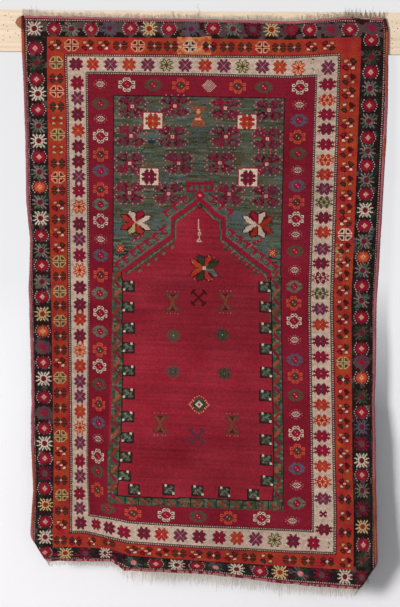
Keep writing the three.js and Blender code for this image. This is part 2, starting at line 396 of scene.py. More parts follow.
SPARK = ("wgdggg.g", "ggdgg.g.", "dggdg.g.", "ggdg.g..", "gg.gg...", "g.g.....", ".g......")
FIELD_DIAMOND = (
    "rrwwgg.g.k", "rwwggg..k.", "wwgggg.k..", "wggggk....", "ggg.g.k...", ".g.g......", "g.g.k.....", "..k.......",
    "k.........",
)

# Drawings in full: a latch hook left of the arch, one that lies under it, a block of the toothed edge, and
# the flower over the arch.
HOOK = ("....rrr.", "..rrrrrg", "rrrrr.gg", "rrrr.gdg", ".rrrgdgg", "..rrrggd", "...rrrd.", "....rrrr")
INNER_HOOK = (".ggg...", "gg.ggg.", "g.rr.gg", "gg.rr.g", ".ggg.gg", "...gggg", ".....g.")
TOOTH = (
    "eeeeeeewwee", "edggdddwwde", "dgggddddgde", "ddggggdgdde", "dddgggggdde", "ddgggdggdde", "dggdddgggde",
    "wwgddbdggde", "wwedddddeee", "eeeeeeeeeee",
)
TOP_FLOWER = (
    "oo..o..o..oo", "ooo.o..o.ooo", ".oroo..ooro.", ".ooooppoooo.", "..oooppooo..", "..rrppppor..", "...rrpprr...",
    "...oorroo...", "...oooooo...", "...oorroo...", "...rooopr...", "..rpppppor..", "..oppppppo..", "..ooorrooo..",
    ".oooorroroo.", ".ooroooorooo", "ooroorooroo.", "oroo.oo.ooro", "oo..o..o..oo",
)


# Half width and half height, in knots, of the dark patch round some motifs.
HALO_REACH = (8, 6)


def in_full(drawing):
    """A drawing's letters as an array."""
    wide = max(len(line) for line in drawing)
    return np.array([list(line.ljust(wide, ".")) for line in drawing])


def whole(quarter):
    """A quarter drawing mirrored both ways."""
    cells = in_full(quarter)
    half = np.concatenate([cells[:0:-1], cells])
    return np.concatenate([half[:, :0:-1], half], axis=1)


def nearest_knot(x, y):
    """The column and row of the knot whose middle is nearest to a place in the picture."""
    return [round(float(at) - 0.5) for at in knot_at(x, y)]


class Plan:
    """The weaver's plan: which wool each knot is tied in, row by row from the top."""

    # How ragged a patch's edge is, where the first patch of a mottled ground starts, and a disc's least edge.
    RAGGED = 0.06
    MOTTLE_FROM = 0.04
    DISC_EDGE = 0.9

    def __init__(self):
        self.knots = np.zeros((ROWS, COLUMNS), int)
        self.random = np.random.default_rng(SEED)

    def block(self, columns, rows, wool):
        self.knots[rows[0]:rows[1], columns[0]:columns[1]] = WOOL_NAMES.index(wool)

    def knot(self, column, row, wool):
        if 0 <= row < ROWS and 0 <= column < COLUMNS:
            self.knots[row, column] = WOOL_NAMES.index(wool)

    def mottle(self, wool, size, choices, rows=(0, ROWS)):
        """Uneven patches of other wools in one wool's ground: each choice is a share and a wool."""
        wide, high = size
        tone = self.random.random((ROWS // high + 1, COLUMNS // wide + 1))
        tone = np.kron(tone, np.ones((high, wide)))[:ROWS, :COLUMNS]
        tone = (tone + self.RAGGED * self.random.random((ROWS, COLUMNS)))[rows[0]:rows[1]]
        part = self.knots[rows[0]:rows[1]]
        ground = part == WOOL_NAMES.index(wool)
        low = self.MOTTLE_FROM
        for share, other in choices:
            part[ground & (tone >= low) & (tone < low + share)] = WOOL_NAMES.index(other)
            low += share

    def guard(self, band, wools, dotted):
        """A narrow frame of single lines, where the dotted one alternates white and dark."""
        left, right, top, bottom = band
        white = WOOL_NAMES.index("guard_white")
        for ring, wool in enumerate(wools):
            a, b, c, d = left + ring, right - ring, top + ring, bottom - ring
            sides = (((c, c + 1), (a, b)), ((d - 1, d), (a, b)), ((c, d), (a, a + 1)), ((c, d), (b - 1, b)))
            for rows, columns in sides:
                self.block(columns, rows, wool)
                if ring == dotted:
                    self.knots[rows[0]:rows[1]:2, columns[0]:columns[1]:2] = white

    def stamp(self, x, y, cells, wools):
        """A motif at a place in the picture. wools gives a letter one wool, two crosswise, or four by quarter."""
        if isinstance(cells, tuple):
            cells = whole(cells)
        high, wide = cells.shape
        column, row = nearest_knot(x, y)
        for down in range(high):
            for over in range(wide):
                wool = wools.get(cells[down, over])
                if isinstance(wool, tuple):
                    low, right = down > high // 2, over > wide // 2
                    wool = wool[2 * low + right if len(wool) == 4 else low != right]
                if wool:
                    self.knot(column + over - wide // 2, row + down - high // 2, wool)

    def disc(self, x, y, reach, wool):
        """A ragged oval patch, with its half width and half height in knots."""
        column, row = nearest_knot(x, y)
        wide, high = reach
        for down in range(-high, high + 1):
            for over in range(-wide, wide + 1):
                if math.hypot(over / wide, down / high) < self.DISC_EDGE + 0.2 * self.random.random():
                    self.knot(column + over, row + down, wool)

    def polygon(self, points, wool):
        """Fills a closed outline given by places in the picture."""
        corners = [knot_at(x, y) for x, y in points]
        for row in range(ROWS):
            middle = row + 0.5
            crossings = []
            for (x0, y0), (x1, y1) in zip(corners, corners[1:] + corners[:1]):
                if (y0 <= middle) != (y1 <= middle):
                    crossings.append(float(x0 + (x1 - x0) * (middle - y0) / (y1 - y0)))
            crossings.sort()
            for start, end in zip(crossings[::2], crossings[1::2]):
                self.block((max(0, round(start)), min(COLUMNS, round(end))), (row, row + 1), wool)

    def box(self, left, top, right, bottom, wool):
        """Fills a box given by its sides in the picture."""
        self.polygon([(left, top), (right, top), (right, bottom), (left, bottom)], wool)

    def line(self, points, wool, width=1):
        """A line of knots through places in the picture."""
        corners = [knot_at(x, y) for x, y in points]
        for (x0, y0), (x1, y1) in zip(corners, corners[1:]):
            steps = max(1, int(3 * max(abs(x1 - x0), abs(y1 - y0))))
            for step in range(steps + 1):
                column = round(float(x0 + (x1 - x0) * step / steps - width / 2))
                row = round(float(y0 + (y1 - y0) * step / steps - width / 2))
                for over in range(width):
                    for down in range(width):
                        self.knot(column + over, row + down, wool)

    def dots(self, places, wool):
        for x, y in places:
            column, row = knot_at(x, y)
            self.knot(int(column), int(row), wool)

    def row(self, motifs, line, kinds, upright=False):
        """Motifs written as places and letters, such as 34W, along a line across or down the picture."""
        for word in motifs.split():
            at, mark = float(word[:-1]), word[-1]
            across = float(np.interp(at, *line))
            x, y = (across, at) if upright else (at, across)
            drawing, wools, *halo = kinds[mark]
            for wool in halo:
                self.disc(x, y, HALO_REACH, wool)
            if not upright and drawing in (STAR, LINED_STAR):
                drawing = drawing[:4] + drawing[5:]
            self.stamp(x, y, drawing, wools)


DARK_KINDS = {
    "W": (FLAKE, {"a": "maroon", "w": "white"}),
    "Y": (FLAKE, {"a": "rust", "w": "straw"}),
    "C": (RUBY_FLAKE, {"n": "mauve", "p": ("rose_ivory", "dusty_rose"), "c": "ruby",
                       "m": "wine", "d": "rose_ivory"}),
    "o": (RUBY_FLAKE, {"n": "rust", "p": "peach", "c": "sunset", "m": "rust", "d": "rose_ivory"}),
    "G": (FLAKE, {"a": "maroon", "w": ("ash", "grey_green")}),
    "T": (FLAKE, {"a": "pink", "w": ("slate_green", "forest")}),
    "K": (FLAKE, {"a": "maroon", "w": ("forest", "olive")}, "plum_black"),
    "B": (FLAKE, {"a": "maroon", "w": "slate"}),
    "P": (FLAKE, {"a": "ruby", "w": ("purple", "mulberry", "heather", "purple")}, "heather"),
    "M": (FLAKE, {"a": "heather", "w": ("wine", "maroon")}, "plum_black"),
    "S": (RUBY_FLAKE, {"n": "ruby", "p": "heather", "c": "ruby", "m": "wine", "d": "plum_black"}),
}

STAR_KINDS = {
    "m": (STAR, {"m": "maroon", "v": "mulberry", "x": "mauve"}),
    "M": (LINED_STAR, {"m": "maroon", "v": "rose_ivory", "x": "maroon"}),
    "c": (STAR, {"m": "wine", "v": "ruby", "x": "pink"}),
    "o": (STAR, {"m": "orange", "v": "sunset", "x": "peach"}),
    "e": (LINED_STAR, {"m": "orange", "v": "peach", "x": "oxblood"}),
    "p": (STAR, {"m": "purple", "v": "mauve", "x": "khaki"}),
    "y": (LINED_STAR, {"m": "olive", "v": "khaki", "x": "oxblood"}),
    "x": (CROSS, {"m": "maroon"}),
}

# The stars of the right side are tied wider and lower.
WIDE_STAR_KINDS = {
    mark: ({STAR: WIDE_STAR, LINED_STAR: WIDE_LINED_STAR}.get(kind[0], kind[0]), *kind[1:])
    for mark, kind in STAR_KINDS.items()
}

FLOWER_KINDS = {
    "n": (NET_FLOWER, {"g": "moss", "k": "khaki"}),
    "r": (NET_FLOWER, {"g": "oxblood", "k": "dusty_rose"}),
    "h": (NET_FLOWER, {"g": "brown_black", "k": "beige"}),
    "d": (DARK_FLOWER, {"c": "rose_ivory", "q": "oxblood", "p": "moss", "k": "rust"}),
    "D": (DARK_FLOWER, {"c": "white", "q": "oxblood", "p": ("forest", "ruby"), "k": "oxblood"}),
    "p": (SLANT_FLOWER, {"c": "ruby", "q": "rust", "p": "khaki"}),
    "s": (SLANT_FLOWER, {"c": "white", "q": ("rust", "oxblood"),
                         "p": ("khaki", "moss", "ruby", "white")}),
    "t": (SLANT_FLOWER, {"c": "rust", "q": ("rust", "oxblood"),
                         "p": ("white", "oxblood", "forest", "khaki")}),
    "S": (SLANT_FLOWER, {"c": "white", "q": ("oxblood", "rust"),
                         "p": ("ruby", "khaki", "white", "forest")}),
}

ROSETTE_PINK = ("pink", "ruby")
ROSETTE_KINDS = {
    "W": (HOLLOW_ROSETTE, {"w": "white", "n": "oxblood", "r": "ruby", "p": ROSETTE_PINK}),
    "G": (SOLID_ROSETTE, {"w": "olive", "r": "ruby", "p": ROSETTE_PINK}),
    "g": (SOLID_ROSETTE, {"w": "grey_green", "r": "ruby", "p": ROSETTE_PINK}),
    "O": (HOLLOW_ROSETTE, {"w": "sunset", "n": "rust", "r": "forest",
                           "p": ("rose_ivory", "forest")}),
    "B": (SOLID_ROSETTE, {"w": "slate", "r": "ruby", "p": ROSETTE_PINK}),
    "s": (LATTICE, {"k": "oxblood", "w": "rose_ivory", "d": "mauve"}),
    "w": (THIN_LATTICE, {"w": "rose_ivory", "p": "white"}),
}


def plan_grounds(plan):
    """The plain grounds of the borders and of the field, outermost first."""
    plan.block((0, COLUMNS), (0, ROWS), "maroon")
    plan.block((3, 327), (2, 506), "brown_black")
    plan.mottle("brown_black", (5, 5),
                ((0.12, "bottle_green"), (0.08, "navy"), (0.12, "plum_black"), (0.07, "heather")))
    plan.block((3, 327), (2, 17), "heather")
    plan.mottle("heather", (4, 3), ((0.12, "brown_black"), (0.1, "plum_black")), (2, 17))
    for x in np.arange(43.5, 372, 19):
        y = float(np.interp(x, (34, 290, 372), (36.5, 39, 37.2)))
        plan.polygon([(x - 7, y), (x - 1.5, y - 6), (x + 1.5, y - 6), (x + 7, y)], "brown_black")
    plan.mottle("brown_black", (6, 4), ((0.3, "plum_black"), (0.16, "maroon"), (0.12, "forest")), (493, 506))
    plan.polygon([(355, 16), (371, 16), (367.5, 22.8), (362, 24.6), (357.5, 22)], "oxblood")
    plan.mottle("oxblood", (2, 2), ((0.4, "brown_black"),), (0, 12))
    plan.guard((0, 330, 0, 508), ("maroon", "brown_black", "brown_black"), 1)
    plan.polygon([(354.5, 10), (371, 10), (369, 22.5), (362, 24.5), (356.5, 22)], "brown_black")
    plan.mottle("brown_black", (2, 1), ((0.4, "oxblood"), (0.15, "heather")), (0, 7))
    plan.block((20, 307), (17, 493), "orange")
    plan.box(177, 36.5, 211, 55, "apricot")
    plan.mottle("apricot", (3, 2), ((0.3, "sunset"), (0.15, "peach")))
    plan.polygon([(331.5, 243.5), (343, 243.5), (342, 278), (331, 278)], "tan")
    plan.mottle("tan", (3, 2), ((0.25, "faded_orange"), (0.14, "khaki")))
    plan.guard((36, 290, 32, 480), ("maroon", "brown_black", "olive"), 1)
    plan.block((39, 287), (35, 477), "ivory")
    plan.mottle("ivory", (3, 2), ((0.16, "rose_ivory"),))
    plan.guard((55, 269, 48, 462), ("olive", "brown_black", "maroon"), 1)
    plan.block((58, 266), (51, 459), "border_red")
    plan.block((82, 239), (69, 442), "green")


# The motifs of the borders, outermost first, each along its top, left side, right side and hem: the kinds, the
# places and letters, and the line that they follow, as places along it and across it.
BORDER_SIDES = (
    (DARK_KINDS,
     "34W 54C 72G 91C 109.6B 130C 149.5Y 169C 191B 213C 233G 252.6M 271.7Y 291S 309.6C 330.6P 350.6C 372P",
     (34, 200, 290, 372), (28.3, 28.3, 30, 28.6)),
    (DARK_KINDS,
     "47.6C 62.5K 79.7C 94W 110C 126G 141W 157.2C 172G 186.8o 202.6G 218.4W 235.2C 251G 265.8C 282G 297C 314.4Y"
     " 331.6o 347.8P 362.7C 378.5W 397C 413P 427.8C 443.3W 457.9C 472.7M 488C 503.8Y 520.6C 536.4W 552C",
     (28, 120, 300, 465, 552), (34, 38.5, 42.7, 45.4, 45.5)),
    (DARK_KINDS,
     "40C 56K 72.7C 88G 105C 120.5G 137.7C 151.6G 166C 180G 194.6C 210W 225.7C 241G 256.8o 270.5G 285.8C 300G"
     " 316.9C 332.7K 348.5C 362.3P 378o 396.3K 412C 427B 443.5M 459.6W 474.5C 490.6G 508.4M 526.2Y 544C 558.9K",
     (41, 300, 465, 558), (372, 361.7, 361.6, 362.6)),
    (DARK_KINDS,
     "65.4Y 85.8M 105.2W 133.8T 156C 177W 197C 216T 237W 260C 280Y 300.3T 321.6M 344.5W 361.8M",
     (66, 105, 133, 200, 290, 362), (552.6, 552.8, 562.5, 565.5, 573, 577)),
    (FLOWER_KINDS,
     "54.8s 70.8r 87.4s 103.3s 119.9d 137.8r 155d 171.6d 190h 209.6D 227.4d 244.6d 262.5r 279d 294.4d 311.6S"
     " 328.8S",
     (55, 200, 290, 333), (45.3, 46.4, 47.4, 45.2)),
    (FLOWER_KINDS,
     "63n 77.8d 91.8r 107d 120p 135n 149.5p 163d 177.3r 190.7d 205s 219d 232.3s 247s 261.5n 276.3d 291.6n 305.7d"
     " 320.6n 335.9d 349.8d 362.7s 378n 392.8d 408d 421.5d 435.4n 451.2s 464.5s 479.8d 495n 510.4d 524.7s",
     (62, 120, 300, 465, 532), (55.6, 56.9, 59.6, 61.8, 61.4)),
    (FLOWER_KINDS,
     "64s 78.6t 93.4s 108t 123s 138S 152.6t 167s 181.6t 196s 209t 221S 234.4h 248t 262s 276t 290.6s 305t 319.6s"
     " 334.2t 349s 363.3n 379D 393.6t 408s 423t 438s 453S 468t 483.7S 499D 515t 532D 547s 561.8t",
     (64, 300, 465, 562), (350, 342.4, 344, 345.4)),
    (FLOWER_KINDS,
     "60.8d 76D 92s 108d 132s 146.5s 163t 179d 196s 213D 231s 249d 267t 289.4d 307.8d 326.8D",
     (58, 112, 130, 200, 290, 350), (539.5, 542.5, 549.5, 554, 559.6, 562)),
    (STAR_KINDS,
     "76m 92.7o 110.6p 129.3o 148.2p 166.3y 185.4p 205.6o 224.3p 243y 262p 280.5o 298.4e 328.5p",
     (76, 200, 290, 328), (64, 65.6, 67.2, 67.8)),
    (STAR_KINDS,
     "82.3c 98p 113.9m 130.5o 146.6m 161.5m 176.8p 191c 207e 223.7m 239p 254.8c 270e 287.3m 304.3m 318.7o 335.9m"
     " 349.8e 365.6o 381.3p 396.7p 411o 427.3e 442.8p 460.9c 475.7p 493c 507.9p 522.7m",
     (64, 120, 300, 465, 522), (76.5, 77.5, 79.6, 79.8, 80.4)),
    (WIDE_STAR_KINDS,
     "84.5c 100e 114.5c 129m 144.4c 159.7e 174.5o 189p 202.8y 218m 232.5o 248.7p 263.5m 278M 293.5y 309p 325o"
     " 341.3m 357c 373c 388.7m 405o 420.5e 435.5c 450c 466o 482e 498p 513.6x 529m",
     (68, 300, 465, 529), (328, 320.3, 322.7, 323.6)),
    (STAR_KINDS,
     "96c 108.3m 123.6c 143.5m 162o 181p 199m 219c 237o 256p 275y 292.9m 313c",
     (80, 96, 124, 200, 290, 313), (522.5, 524, 532, 536, 541, 542.2)),
    (ROSETTE_KINDS,
     "100.5s 126.5W 153.6G 180.5O 209w 238O 264.5G 300.5W",
     (100, 200, 300), (83.6, 85.6, 87.6)),
    (ROSETTE_KINDS,
     "103.3G 118.6s 135.8W 154.3O 171B 188.8O 204g 220.8W 239s 255.7B 275.4O 293g 312.4W 331g 349.3O 366W 384.2G"
     " 403.8O 422B 438.8s 455.8W 471.6G 490O",
     (100, 300, 491), (100.5, 100.2, 97.2)),
    (ROSETTE_KINDS,
     "104.6s 120B 137O 153.5G 169.8s 186B 202.3O 218.6W 234.3s 251.6G 270s 287g 303.5O 321W 340s 359.5B 376.7O"
     " 395.8G 414s 432.6W 450.4O 468B 485s 502.7g 521s",
     (104, 137, 303, 414, 450, 503, 521), (299.6, 298, 294, 295.6, 296.9, 296, 292)),
    (ROSETTE_KINDS,
     "107G 133.3O 166W 198G 228O 261W",
     (107, 133, 292), (508, 513, 519.5)),
)


def plan_borders(plan):
    for number, (kinds, motifs, *line) in enumerate(BORDER_SIDES):
        plan.row(motifs, line, kinds, upright=number % 4 in (1, 2))
    plan.dots(((312.5, 59), (313.5, 59), (312.5, 69), (313.5, 70), (328, 542), (329, 543), (328.5, 547)), "maroon")


def plan_box(plan, left, top, right, bottom, wools):
    """A white box with a thin outline and a star in it."""
    plan.box(left - 1, top - 1, right + 1, bottom + 1, "ruby")
    plan.box(left, top, right, bottom, "white")
    plan.stamp((left + right) / 2, (top + bottom) / 2, BIG_STAR, wools)


# How far a large flower's edge reaches at each angle of a quarter, from level to upright.
LOBE_ANGLES = (0, 12, 31, 48, 66, 80, 90)
LOBE_REACH = (0.46, 0.72, 1.12, 0.78, 1.04, 0.84, 0.74)
# The seam between two lobes, as its angle and half width, and the outline's width as a share of the reach.
SEAM_ANGLE, SEAM_WIDTH = 48, 7
OUTLINE_SHARE = 0.1


def lobed(plan, x, y, reach, wools, outline):
    """A large flower of eight lobes, two in each quarter, in a dark outline."""
    column, row = (int(float(at)) for at in knot_at(x, y))
    wide, high = reach
    for over in range(-wide - 3, wide + 4):
        for down in range(-high - 2, high + 3):
            u, v = over / wide, down / high
            turn = math.degrees(math.atan2(-v, u)) % 360
            quarter = turn % 180 if turn % 180 <= 90 else 180 - turn % 180
            limit = float(np.interp(quarter, LOBE_ANGLES, LOBE_REACH))
            radius = math.hypot(u, v)
            if radius > limit + OUTLINE_SHARE:
                continue
            between_lobes = abs(quarter - SEAM_ANGLE) < SEAM_WIDTH and radius > 0.35
            seam = radius > limit or between_lobes or (over == 0 and radius > OUTLINE_SHARE)
            plan.knot(column + over, row + down, outline if seam else wools[int(turn // 45)])


def hooks(plan, places, side, inward, wools):
    """Latch hooks along the arch: side is -1 left of its top, and the inner ones lie under it."""
    cells = in_full(INNER_HOOK if inward else HOOK)
    if side > 0:
        cells = cells[:, ::-1]
    for x, y in places:
        plan.stamp(x, y, cells, wools)


SPRAYS = (
    (131.8, 106.8), (174.6, 106.5), (131.4, 136.3), (172.7, 136.9), (130, 163), (179, 163),
    (129, 192.5), (169, 194.2), (225.3, 107.9), (268.7, 110), (225.9, 136.7), (267.1, 139.1),
    (219.9, 162.6), (267.3, 164), (229, 193.9), (266.6, 195.6),
)
BOXES = (
    (143.7, 112.5, 161.9, 128.6, "orange"), (139.8, 168.6, 158.8, 185.4, "maroon"),
    (237.5, 115, 256, 129, "orange"), (239.2, 169, 257.5, 186, "maroon"),
)
# The sprays' own wools, and the share of their knots that shows another one.
SPRAY_WOOLS = numbers_of("wine", "plum", "mulberry", "purple", "heather", "oxblood", "maroon", "brown_black")
SPRAY_WEAR = 0.36
SPRAY_COLUMNS, SPRAY_ROWS = (83, 238), (70, 200)
# The rows of the green ground beside the arch, where it is greyer.
LOW_SPANDREL = (180, 262)


def plan_sprays(plan):
    """Sprays of leaves around each white box, with beads that lead to its corners."""
    leaves = ("oxblood", "plum", "brown_black", "oxblood", "wine", "plum")
    bodies = ("purple", "heather", "wine", "mulberry", "heather", "mulberry")
    for number, (x, y) in enumerate(SPRAYS):
        box = min(BOXES, key=lambda box: math.hypot((box[0] + box[2]) / 2 - x, (box[1] + box[3]) / 2 - y))
        towards = 2 * ((box[1] + box[3]) / 2 > y) + ((box[0] + box[2]) / 2 > x)
        body = tuple(bodies[(number + 2 * at) % 6] for at in range(4))
        plan.stamp(x, y, SPRAY, {
            "n": "pink" if number % 3 else "oxblood", "w": "rose_ivory", "r": "wine", "d": "pink",
            "m": tuple(("maroon", "mulberry", "wine")[(number + at) % 3] for at in range(4)),
            "a": tuple(leaves[(2 * number + at) % 6] for at in range(4)),
            "b": body,
            "e": tuple("pink" if at == towards else body[at] for at in range(4)),
        })
    worn = ("wine", "purple", "mulberry", "heather", "plum", "ruby", "mulberry", "grey_green", "green", "oxblood")
    for row in range(*SPRAY_ROWS):
        for column in range(*SPRAY_COLUMNS):
            chance = plan.random.random()
            if plan.knots[row, column] in SPRAY_WOOLS and chance < SPRAY_WEAR:
                plan.knot(column, row, worn[int(chance / SPRAY_WEAR * len(worn))])


def plan_spandrel(plan):
    """The green ground over the arch, with its sprays, boxes and large flowers."""
    plan.mottle("green", (10, 1), ((0.12, "grey_green"), (0.05, "teal"), (0.07, "moss")))
    plan.mottle("green", (7, 2), ((0.08, "olive"), (0.04, "forest"), (0.08, "slate_green")))
    plan.mottle("green", (12, 1), ((0.45, "slate_green"), (0.26, "grey_green")), LOW_SPANDREL)
    for x, y, reach, wool in (
        (152, 136, (9, 2), "slate_green"), (152, 141.5, (4, 2), "ink"), (121.5, 251, (7, 6), "bottle_green"),
        (275, 260, (6, 4), "bottle_green"), (238, 158, (8, 5), "olive"), (240, 216, (9, 5), "slate_green"),
    ):
        plan.disc(x, y, reach, wool)
    plan.mottle("bottle_green", (5, 1), ((0.35, "green"), (0.2, "slate_green")), LOW_SPANDREL)
    plan_sprays(plan)
    for *box, wool in BOXES:
        plan_box(plan, *box, {"m": wool, "v": "oxblood" if wool == "orange" else "plum", "q": "oxblood",
                              "k": "khaki" if wool == "orange" else "pink"})
    plan.stamp(199, 116, in_full(TOP_FLOWER), {"o": "faded_orange", "p": "peach", "r": "olive"})
    lobed(plan, 136.3, 222.8, (14, 11),
          ["ivory", "ruby", "ivory", "orange", "orange", "khaki", "orange", "ivory"], "oxblood")
    lobed(plan, 257.5, 224.6, (14, 12),
          ["rust", "ivory", "ruby", "ivory", "ivory", "rust", "ivory", "rust"], "oxblood")
    for x, y in ((137.7, 238), (256, 242.6)):
        plan.line([(x - 5, y + 2.5), (x + 5, y - 3)], "wine", 2)
        plan.dots(((x - 4.5, y + 2.6), (x - 3.4, y + 2), (x, y), (x + 1, y - 0.6), (x + 4, y - 2.5)), "pink")
    for x, y in ((120.5, 248.2), (272.2, 252.5)):
        plan.stamp(x, y, ("rpoo.", "poor.", "oopr.", "orr..", "....."), {"o": "orange", "p": "peach", "r": "rust"})
    for columns, rows in (((82, 83), (69, 250)), ((238, 239), (69, 250)), ((82, 239), (69, 70))):
        plan.block(columns, rows, "plum_black")


def plan_niche(plan):
    """The crimson field under its stepped arch."""
    plan.polygon(
        [
            (200, 200), (206, 205), (217, 216), (224, 218), (224, 237), (268, 272), (270.5, 279), (272.7, 511),
            (109, 502), (112, 280), (123.3, 272), (173, 236.3), (172, 219), (182, 212), (194, 205),
        ],
        "crimson",
    )
    left = [(198.5, 200.5), (186, 209.5), (172.3, 219), (172.3, 235.8), (123, 271.5)]
    right = [(201.5, 200.5), (208, 206.5), (218, 216.5), (224, 218.5), (224, 237.5), (269, 272.5), (270.8, 279)]
    outer = {"r": "arch_red", "g": "grey_green", "d": "forest"}
    inner = {"r": "arch_red", "g": ("grey_green", "forest")}
    hooks(plan, ((185, 201), (176, 206.5), (167, 213), (164.4, 231), (156.7, 236.8), (149, 242.4), (141.4, 248),
                 (133.6, 253.6), (125.8, 259.2), (118, 264.8)), -1, False, outer)
    hooks(plan, ((212.5, 199), (221.5, 205.5), (230.5, 213), (232, 233.5), (239.4, 239), (247, 245), (254.4, 251),
                 (261.8, 257), (269.2, 263), (275.5, 268.5)), 1, False, outer)
    hooks(plan, ((170, 245.5), (162, 251.3), (154, 257), (146, 262.8), (138, 268.6)), -1, True, inner)
    hooks(plan, ((227.5, 247.5), (235, 253.3), (242.5, 259.2), (250, 265.2), (257.5, 271.2)), 1, True, inner)
    for band, shift in ((left, 1), (right, -1)):
        plan.line([(x + 3.2 * shift, y + 2) for x, y in band], "forest", 2)
        plan.line([(x + 3.4 * shift, y + 2.4) for x, y in band], "grey_green")
        plan.line([(x - 2.6 * shift, y - 2) for x, y in band], "grey_green")
        plan.line(band, "arch_red", 3)
    plan.line([(187.5, 183), (212.5, 183)], "arch_red", 3)
    for side in (-1, 1):
        plan.line([(200 + side * 12, 183), (200 + side * 12, 190.5)], "arch_red", 3)
        plan.line([(200 + side * 12, 191), (200 + side * 5.5, 191)], "arch_red", 2)
        plan.line([(200 + side * 5.5, 191), (200 + side * 5.5, 187)], "arch_red", 2)
        plan.line([(200 + side * 9, 188.5), (200 + side * 8, 187)], "grey_green")
    plan.line([(200, 184), (200, 195)], "arch_red", 2)
    plan.stamp(200, 195.6, ("pprrr", "prrrr", "rrrr", "rrr", "rr"), {"p": "pink", "r": "ruby"})
    plan.stamp(200, 206.5, ("prr", "rr", "r"), {"p": "sunset", "r": "oxblood"})


def plan_field_frame(plan):
    """The narrow green frame with its marks, and the toothed blocks along its inside."""
    inner = [(122, 272), (122.2, 300), (122.9, 370), (122, 415), (120.4, 440), (118.9, 466), (117.3, 495.6)]
    plan.polygon([(112.5, 272), *inner, (272, 501), (271.5, 300), (270.5, 276), (281, 276), (281, 300),
                  (282.7, 511), (108, 502), (109.4, 455), (112.3, 400), (112.5, 300)], "frame_green")
    plan.mottle("frame_green", (3, 2), ((0.22, "grey_green"), (0.12, "forest"), (0.08, "teal")))
    plan.line([*inner, (272.4, 501), (271.5, 300), (270.7, 277)], "brown_black")
    for number, y in enumerate(np.arange(275, 500, 8.8)):
        slope = 2.6 if number % 2 else -2.6
        wool = ("rust", "wine", "faded_orange", "wine")[number % 4]
        for line in (((276, 300, 390, 430, 500), (117.4, 117.2, 117.4, 115.7, 112.5)),
                     ((276, 300, 500), (275.8, 276, 277.8))):
            x = float(np.interp(y, *line))
            plan.line([(x - 2.2, y - slope), (x + 2.2, y + slope)], wool, 2)
            plan.dots(((x + 3, y - slope), (x + 2, y - slope), (x - 3, y + slope)), "forest")
    for x in np.arange(119, 276, 13):
        y = float(np.interp(x, (112, 280), (499.6, 506)))
        plan.line([(x - 3, y - 2.6), (x + 3, y + 2.6)], "faded_orange")
        plan.line([(x - 3, y - 1.4), (x + 2.4, y + 3)], "rust")
        plan.line([(x + 6.5, y - 3.5), (x + 6.5, y + 3.8)], "bottle_green")
    plan.line([(281.4, 276), (281.4, 300), (283.2, 505)], "plum_black")
    cells = in_full(TOOTH)
    wools = {"g": "grey_green", "d": ("forest", "bottle_green"), "e": "plum_black",
             "w": "white", "b": "mauve"}
    left_y = (287.5, 307.5, 329, 348.5, 371.5, 394, 417, 438.5, 458, 476)
    right_y = (287.5, 307.5, 328.5, 350, 372.5, 396, 418, 441, 461, 482)
    for y in left_y:
        plan.stamp(float(np.interp(y, (287, 394, 437, 458, 477), (129, 129.2, 128, 126.5, 125.2))), y, cells, wools)
    for y in right_y:
        plan.stamp(float(np.interp(y, (287, 482), (264.4, 266.6))), y, cells[:, ::-1], wools)
    for x, y in ((134.5, 490), (168.5, 490.5), (197, 491), (224, 492.5), (252.5, 495.5)):
        plan.stamp(x, y, cells[:, ::-1], wools)


def plan_scatter(plan):
    """The few small marks that are scattered on the crimson field."""
    plan.line([(199, 220), (199, 232)], "rose_ivory")
    plan.stamp(199, 233.5, ("nw", "ww"), {"w": "rose_ivory"})
    plan.line([(199, 235), (199, 238)], "rose_ivory")
    plan.line([(197, 241.5), (199, 238.5), (201, 241.5), (197, 241.5)], "rose_ivory")
    lobed(plan, 204.8, 267.8, (13, 12),
          ["forest", "orange", "forest", "orange", "orange", "forest", "orange", "grey_green"], "oxblood")
    plan.stamp(204.8, 267.8, ("nw", "ww"), {"w": "white", "n": "teal"})
    plan.dots(((209, 256.5), (214, 257), (192.5, 262), (195, 279), (208, 280), (212, 279)), "pink")
    for x, y, wool in ((198.6, 298, "oxblood"), (197, 436, "mulberry")):
        plan.stamp(x, y, X_MARK, {"x": wool})
    for x, y in ((173, 303), (225, 302), (160, 423.5), (232, 424)):
        plan.stamp(x, y, HOURGLASS, {"r": "oxblood", "o": "worn_brown", "f": "forest", "p": "mauve"})
    for x, y, wool in ((174, 335, "olive"), (222, 335, "forest"), (173, 372, "heather"), (224, 373, "forest")):
        plan.stamp(x, y, SPARK, {"g": wool, "d": "forest" if wool == "heather" else "heather",
                                 "w": "rose_ivory" if y < 340 else "mauve"})
    plan.stamp(199.6, 404, FIELD_DIAMOND, {"r": "ruby", "w": "white", "g": "forest", "k": "dusty_rose"})


def knot_plan():
    """The whole plan, worked from the outside in."""
    plan = Plan()
    for work in (plan_grounds, plan_borders, plan_spandrel, plan_niche, plan_field_frame, plan_scatter):
        work(plan)
    return plan.knots


# ---------------------------------------------------------------- dyed colour, knot by knot


def linear(srgb):
    srgb = np.clip(np.asarray(srgb, float), 0, 1)
    return np.where(srgb <= 0.04045, srgb / 12.92, ((srgb + 0.055) / 1.055) ** 2.4)


def wool(wools, name):
    """A wool's linear colour."""
    return linear(getattr(wools, name))


def streaks(random, rows, columns, run):
    """Bands of uneven dyeing: long across the rug and short down it, about -1 to 1."""
    stations = columns // run + 2
    base = random.normal(0, 1, (rows, stations))
    base = 0.6 * base + 0.4 * np.roll(base, 1, axis=0)
    at = np.arange(columns) / run
    low = at.astype(int)
    share = at - low
    return base[:, low] * (1 - share) + base[:, low + 1] * share


